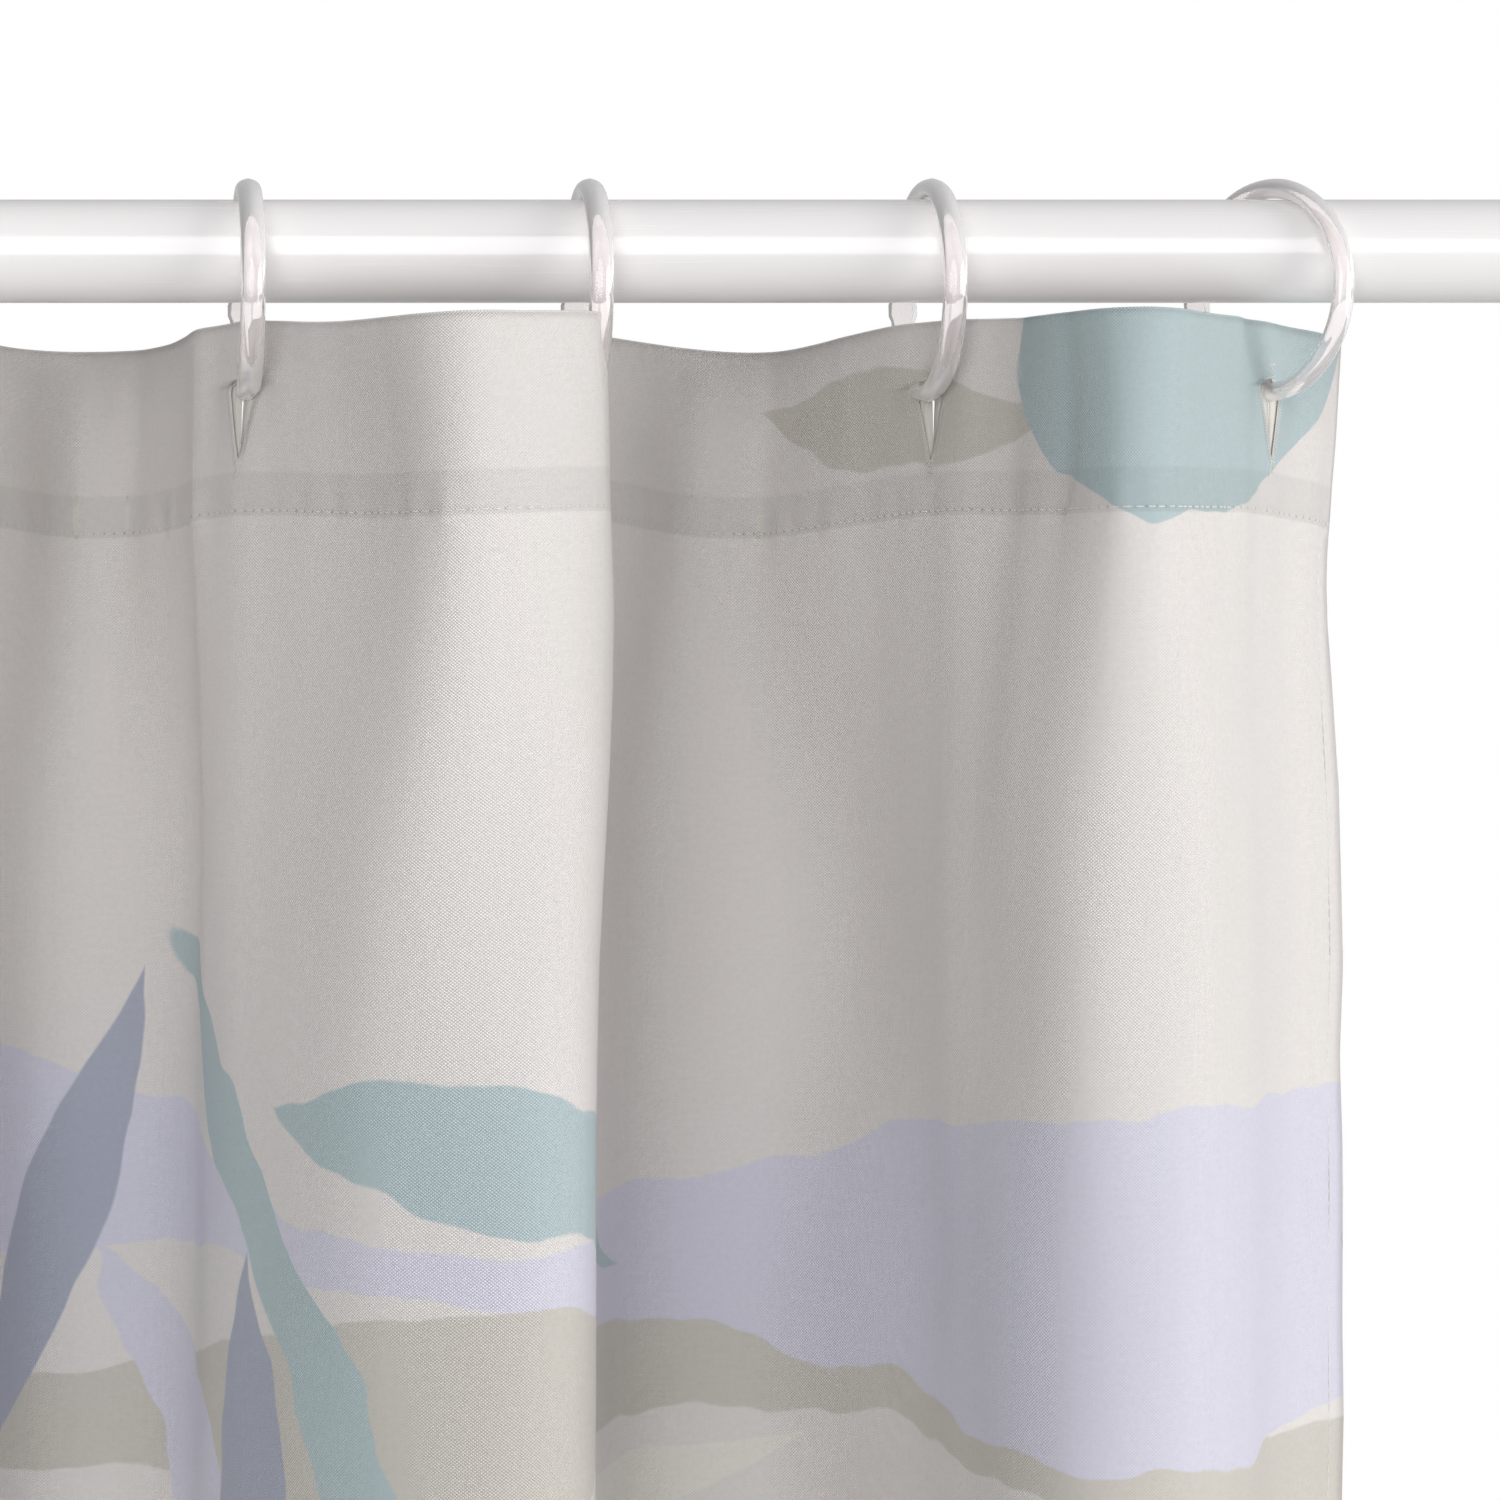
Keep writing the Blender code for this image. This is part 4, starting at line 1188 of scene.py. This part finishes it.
def new_tree(name: str, inputs: Sequence[tuple[str, str, object]]) -> tuple[bpy.types.NodeTree, dict[str, str]]:
    """Starts a Geometry Nodes tree.

    Args:
        name: the tree's name.
        inputs: name, socket type and default of each size that it takes.

    Returns:
        The tree, and each input's identifier by name.
    """
    tree = bpy.data.node_groups.new(name, "GeometryNodeTree")
    tree.interface.new_socket("Geometry", in_out="INPUT", socket_type="NodeSocketGeometry")
    tree.interface.new_socket("Geometry", in_out="OUTPUT", socket_type="NodeSocketGeometry")
    identifiers = {}
    for label, kind, default in inputs:
        socket = tree.interface.new_socket(label, in_out="INPUT", socket_type=kind)
        if default is not None:
            socket.default_value = default
        identifiers[label] = socket.identifier
    return tree, identifiers


def baked(name: str, path: np.ndarray, tree: bpy.types.NodeTree, values: dict[str, object]) -> bpy.types.Object:
    """Runs a tree over a line of points and returns its result as a plain mesh object."""
    mesh = bpy.data.meshes.new(f"{name}_path")
    edges = [(i, i + 1) for i in range(len(path) - 1)]
    mesh.from_pydata(path.tolist(), edges, [])
    guide = bpy.data.objects.new(f"{name}_guide", mesh)
    bpy.context.scene.collection.objects.link(guide)
    modifier = guide.modifiers.new("Sew", "NODES")
    modifier.node_group = tree
    for identifier, value in values.items():
        modifier[identifier] = value
    bpy.context.view_layer.update()
    result = guide.evaluated_get(bpy.context.evaluated_depsgraph_get())
    made = bpy.data.meshes.new_from_object(result)
    made.name = name
    bpy.data.objects.remove(guide, do_unlink=True)
    piece = bpy.data.objects.new(name, made)
    bpy.context.scene.collection.objects.link(piece)
    made.polygons.foreach_set("use_smooth", [True] * len(made.polygons))
    return piece


def sewn_line(name: str, path: np.ndarray, pitch: float, radius: float,
              material: bpy.types.Material) -> bpy.types.Object:
    """Lays lockstitches end to end along a path, each a short rounded length of thread."""
    tree, ids = new_tree(f"{name}_tree", [("Pitch", "NodeSocketFloat", pitch), ("Radius", "NodeSocketFloat", radius)])
    nodes = tree.nodes
    source, sink = nodes.new("NodeGroupInput"), nodes.new("NodeGroupOutput")
    to_curve = nodes.new("GeometryNodeMeshToCurve")
    resample = nodes.new("GeometryNodeResampleCurve")
    resample.mode = "LENGTH"
    tangent = nodes.new("GeometryNodeInputTangent")
    align = nodes.new("FunctionNodeAlignRotationToVector")
    align.axis = "X"
    stitch = nodes.new("GeometryNodeMeshUVSphere")
    stitch.inputs["Segments"].default_value = 6
    stitch.inputs["Rings"].default_value = 4
    stitch.inputs["Radius"].default_value = 1.0
    instance = nodes.new("GeometryNodeInstanceOnPoints")
    half = nodes.new("ShaderNodeMath")
    half.operation = "MULTIPLY"
    half.inputs[1].default_value = 0.43
    size = nodes.new("ShaderNodeCombineXYZ")
    realize = nodes.new("GeometryNodeRealizeInstances")
    dress = nodes.new("GeometryNodeSetMaterial")
    dress.inputs["Material"].default_value = material
    join(tree, [(source.outputs["Geometry"], to_curve.inputs[0]), (to_curve.outputs[0], resample.inputs["Curve"]),
                (source.outputs["Pitch"], resample.inputs["Length"]),
                (resample.outputs[0], instance.inputs["Points"]),
                (stitch.outputs["Mesh"], instance.inputs["Instance"]), (tangent.outputs[0], align.inputs["Vector"]),
                (align.outputs[0], instance.inputs["Rotation"]), (source.outputs["Pitch"], half.inputs[0]),
                (half.outputs[0], size.inputs[0]), (source.outputs["Radius"], size.inputs[1]),
                (source.outputs["Radius"], size.inputs[2]), (size.outputs[0], instance.inputs["Scale"]),
                (instance.outputs[0], realize.inputs[0]), (realize.outputs[0], dress.inputs["Geometry"]),
                (dress.outputs[0], sink.inputs[0])])
    return baked(name, path, tree, {ids["Pitch"]: pitch, ids["Radius"]: radius})


def thread_tube(name: str, path: np.ndarray, radius: float, material: bpy.types.Material) -> bpy.types.Object:
    """Runs a round thread along a path."""
    tree, ids = new_tree(f"{name}_tree", [("Radius", "NodeSocketFloat", radius)])
    nodes = tree.nodes
    source, sink = nodes.new("NodeGroupInput"), nodes.new("NodeGroupOutput")
    to_curve = nodes.new("GeometryNodeMeshToCurve")
    ring = nodes.new("GeometryNodeCurvePrimitiveCircle")
    ring.inputs["Resolution"].default_value = 6
    sweep = nodes.new("GeometryNodeCurveToMesh")
    sweep.inputs["Fill Caps"].default_value = True
    realize = nodes.new("GeometryNodeRealizeInstances")
    dress = nodes.new("GeometryNodeSetMaterial")
    dress.inputs["Material"].default_value = material
    join(tree, [(source.outputs["Geometry"], to_curve.inputs[0]), (source.outputs["Radius"], ring.inputs["Radius"]),
                (to_curve.outputs[0], sweep.inputs["Curve"]), (ring.outputs[0], sweep.inputs["Profile Curve"]),
                (sweep.outputs[0], realize.inputs[0]), (realize.outputs[0], dress.inputs["Geometry"]),
                (dress.outputs[0], sink.inputs[0])])
    return baked(name, path, tree, {ids["Radius"]: radius})


# --------------------------------------------------------------------------------------- rings and rod


@dataclass
class SnapRings:
    """The clear rings, each a moulded wire with a snap joint at its hidden back."""

    hanging: Hanging
    steps: int = 112
    sides: int = 24
    snap_length: float = 0.0085
    snap_swell: float = 0.0006
    seam_height: float = 0.00012
    flatness: float = 0.22

    def build(self) -> None:
        """Makes every ring and ties it to its own body."""
        clear = ClearPlastic().make()
        for index, (x, turn) in enumerate(zip(self.hanging.xs, self.hanging.turns)):
            node = f"ring_{index + 1:02d}"
            piece = self.ring(f"snap_{node}", float(x), float(turn))
            piece.data.materials.append(clear)
            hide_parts(node)
            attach(piece, "curtain" if index == 0 else f"hanger_{index + 1:02d}")
            LOG.info("%s at x %.3f, turned %.0f degrees", piece.name, x, math.degrees(turn))

    def ring(self, name: str, x: float, turn: float) -> bpy.types.Object:
        """Sweeps the wire round, thicker at the snap and with a fine moulding seam round its equator."""
        around = np.arange(self.steps) * 2 * math.pi / self.steps
        about = np.arange(self.sides) * 2 * math.pi / self.sides
        theta, phi = np.meshgrid(around, about, indexing="ij")
        from_back = np.minimum(theta, 2 * math.pi - theta) * self.hanging.radius
        swell = self.snap_swell * (1.0 - smooth_step((from_back - self.snap_length / 2) / 0.0012))
        notch = 0.0005 * np.exp(-(from_back / 0.0004) ** 2)
        seam = self.seam_height * np.exp(-(np.sin(phi) / 0.12) ** 2)
        tube = self.hanging.wire / 2 - self.seam_height + swell - notch + seam
        flat = self.flatness * self.hanging.wire / 2
        reach = self.hanging.radius - flat + tube * (1.0 - self.flatness) * np.cos(phi)
        side = tube * np.sin(phi)
        y, z = reach * np.cos(theta), reach * np.sin(theta)
        points = np.stack([x + side * math.cos(turn) - y * math.sin(turn),
                           side * math.sin(turn) + y * math.cos(turn), self.hanging.centre_z + z], -1).reshape(-1, 3)
        faces = []
        for i in range(self.steps):
            for j in range(self.sides):
                a, b = i * self.sides + j, i * self.sides + (j + 1) % self.sides
                after = ((i + 1) % self.steps) * self.sides
                c, d = after + (j + 1) % self.sides, after + j
                faces.append([a, b, c, d])
        return make_piece(name, points, faces)


@dataclass
class TensionRod:
    """The telescopic rod: two enamelled tubes, the collar between them, the twist lock and two feet."""

    soft_edge: float = 0.0004

    def build(self) -> None:
        """Makes every piece of the rod from its CAD node's size."""
        enamel = Enamel().make()
        plastic = Moulded("white_moulding", paint(226, 225, 222), 0.34).make()
        rubber = Moulded("grey_rubber_pad", paint(150, 150, 148), 0.72, 0.8).make()
        zinc = ZincPlate().make()
        self.tube("outer_tube", "rod", enamel)
        self.tube("inner_tube", "rod_extension", enamel)
        self.traced("tube_collar", "rod", plastic)
        for side, body in (("right", "rod"), ("left", "rod_extension")):
            self.traced(f"{side}_foot_cap", body, plastic)
            self.traced(f"{side}_foot_pad", body, rubber)
        self.traced("lock_plug", "rod_extension", plastic)
        self.traced("lock_expander", "rod_extension", rubber)
        self.traced("lock_screw", "rod_extension", zinc)

    def tie(self, piece: bpy.types.Object, node: str, body: str, material: bpy.types.Material) -> None:
        """Dresses a piece and ties it to the frame."""
        piece.data.materials.append(material)
        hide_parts(node)
        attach(piece, body)
        LOG.info("%s rides on %s", piece.name, body)

    def tube(self, node: str, body: str, material: bpy.types.Material) -> None:
        """Makes a tube with deburred ends and a length divided often enough to shade evenly."""
        low, high = box_of(node)
        outer = (high[2] - low[2]) / 2
        inner = outer - TUBE_WALL
        edge = self.soft_edge
        long = [float(x) for x in np.linspace(high[0] - edge, low[0] + edge, 24)]
        profile = [(float(high[0]), outer - edge)] + [(x, outer) for x in long] + [(float(low[0]), outer - edge)]
        profile += [(float(low[0]), inner), (float(high[0]), inner)]
        self.tie(revolve(f"{node}_enamelled", profile), node, body, material)

    def traced(self, node: str, body: str, material: bpy.types.Material) -> None:
        """Makes a moulded or turned piece from the outline of its CAD node, with rounded edges."""
        outline = outline_of(node)
        self.tie(revolve(f"{node}_finished", rounded(outline, self.soft_edge)), node, body, material)


def outline_of(node: str) -> list[tuple[float, float]]:
    """Reads the turned outline of a CAD node, from its +X end along its outer side and back inside it."""
    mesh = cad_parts[node].data
    coords = np.array([tuple(v.co) for v in mesh.vertices])
    radius = np.hypot(coords[:, 1], coords[:, 2])
    links: dict[tuple[float, float], set[tuple[float, float]]] = {}
    names = [(round(float(x), 5), round(float(r), 5)) for x, r in zip(coords[:, 0], radius)]
    for polygon in mesh.polygons:
        keys = [names[v] for v in polygon.vertices]
        for a, b in zip(keys, keys[1:] + keys[:1]):
            if a != b:
                links.setdefault(a, set()).add(b)
                links.setdefault(b, set()).add(a)
    start = max((key for key in links if key[0] == max(k[0] for k in links)), key=lambda key: key[1])
    return ordered(links, start)


def ordered(links: dict[tuple[float, float], set[tuple[float, float]]],
            start: tuple[float, float]) -> list[tuple[float, float]]:
    """Walks an outline's points from start along its outer side."""
    order, seen = [start], {start}
    here = start
    while True:
        choices = [key for key in links[here] if key not in seen]
        if not choices:
            return order
        here = max(choices, key=lambda key: (key[1], -abs(key[0] - here[0])))
        order.append(here)
        seen.add(here)


# --------------------------------------------------------------------------------------------- studio


@dataclass
class Studio:
    """A pale floor, soft light from the right, and the camera."""

    picture_width: float = 0.370
    distance: float = 1.20
    right_of_edge: float = 0.128
    below_rod: float = 0.123
    glow_below: float = 0.82
    glow_above: float = 0.60
    glow_right: float = 0.50
    floor_drop: float = 0.10
    floor_reach: float = 6.0

    def build(self, hanging: Hanging) -> None:
        """Makes the camera, the lights, the floor and the white surroundings."""
        self.camera(hanging)
        self.lights()
        self.floor()
        self.surroundings()
        bpy.context.scene.view_settings.view_transform = "Standard"

    def camera(self, hanging: Hanging) -> None:
        """Looks level at the curtain's upper right corner."""
        data = bpy.data.cameras.new("camera")
        data.sensor_width = SENSOR_WIDTH
        data.lens = SENSOR_WIDTH * self.distance / self.picture_width
        data.clip_end = 40.0
        camera = bpy.data.objects.new("camera", data)
        camera.location = (float(hanging.xs[0]) - self.right_of_edge, -self.distance, -self.below_rod)
        camera.rotation_euler = (math.pi / 2, 0.0, 0.0)
        bpy.context.scene.collection.objects.link(camera)
        bpy.context.scene.camera = camera

    def sun(self, name: str, towards: tuple[float, float, float], spread: float, strength: float,
            colour: tuple[float, float, float]) -> None:
        """Adds far light that travels in one direction, as soft as its spread in degrees."""
        data = bpy.data.lights.new(name, "SUN")
        data.angle = math.radians(spread)
        data.energy = strength
        data.color = colour
        lamp = bpy.data.objects.new(name, data)
        lamp.rotation_euler = Vector(towards).to_track_quat("-Z", "Y").to_euler()
        bpy.context.scene.collection.objects.link(lamp)

    def lights(self) -> None:
        """Lights the folds from the right and a little from the front, with a soft fill from the front."""
        self.sun("key_light", (-0.90, 0.44, 0.02), 38.0, 1.75, (1.0, 0.992, 0.985))
        self.sun("fill_light", (0.10, 0.95, -0.12), 40.0, 1.10, (0.97, 0.985, 1.0))

    def floor(self) -> None:
        """Lays a pale floor under the curtain."""
        low, high = CAD_BOX
        z = float(low[2]) - self.floor_drop
        reach = self.floor_reach
        middle = (float(low[0]) + float(high[0])) / 2
        points = [(middle - reach, -reach, z), (middle + reach, -reach, z), (middle + reach, reach, z),
                  (middle - reach, reach, z)]
        floor = make_piece("studio_floor", np.array(points), [[0, 1, 2, 3]])
        sheet = NodeSheet("pale_floor")
        grain = sheet.noise(sheet.place(), 6.0, 3.0)
        sheet.set(Base_Color=sheet.mix(grain, paint(226, 226, 225), paint(233, 233, 232)), Roughness=0.8)
        floor.data.materials.append(sheet.material)

    def surroundings(self) -> None:
        """Makes the background white, and dims what it throws on the curtain so that the folds read."""
        world = bpy.data.worlds.new("white_room")
        world.use_nodes = True
        tree = world.node_tree
        tree.nodes.clear()
        output = tree.nodes.new("ShaderNodeOutputWorld")
        seen, cast = tree.nodes.new("ShaderNodeBackground"), tree.nodes.new("ShaderNodeBackground")
        seen.inputs[0].default_value = (1.0, 1.0, 1.0, 1.0)
        seen.inputs[1].default_value = 1.0
        place = tree.nodes.new("ShaderNodeTexCoord")
        split = tree.nodes.new("ShaderNodeSeparateXYZ")
        slope = tree.nodes.new("ShaderNodeMapRange")
        for name, value in (("From Min", -0.6), ("From Max", 0.9), ("To Min", self.glow_below),
                            ("To Max", self.glow_above)):
            slope.inputs[name].default_value = value
        path = tree.nodes.new("ShaderNodeLightPath")
        clear, lean, both = (tree.nodes.new("ShaderNodeMath") for _ in range(3))
        clear.operation, lean.operation, both.operation = "MAXIMUM", "MULTIPLY_ADD", "MULTIPLY"
        lean.inputs[1].default_value, lean.inputs[2].default_value = self.glow_right, 1.0
        mix = tree.nodes.new("ShaderNodeMixShader")
        join(tree, [(place.outputs["Generated"], split.inputs[0]), (split.outputs[2], slope.inputs["Value"]),
                    (split.outputs[0], lean.inputs[0]), (slope.outputs["Result"], both.inputs[0]),
                    (lean.outputs[0], both.inputs[1]), (both.outputs[0], cast.inputs[1]),
                    (path.outputs["Is Camera Ray"], clear.inputs[0]),
                    (path.outputs["Is Transmission Ray"], clear.inputs[1]), (clear.outputs[0], mix.inputs[0]),
                    (cast.outputs[0], mix.inputs[1]), (seen.outputs[0], mix.inputs[2]),
                    (mix.outputs[0], output.inputs[0])])
        bpy.context.scene.world = world


# ----------------------------------------------------------------------------------------------- main


def main() -> None:
    """Builds the curtain, its rings and rod, and the studio, in that order."""
    logging.basicConfig(level=logging.INFO, format="%(name)s %(message)s")
    hanging = Hanging.from_frame()
    _, top = box_of("curtain_panel")
    Studio().build(hanging)
    drape = Drape(Cut(), hanging, float(top[2]))
    SnapRings(hanging).build()
    TensionRod().build()
    Cloth(drape).build()


if __name__ == "__main__":
    main()
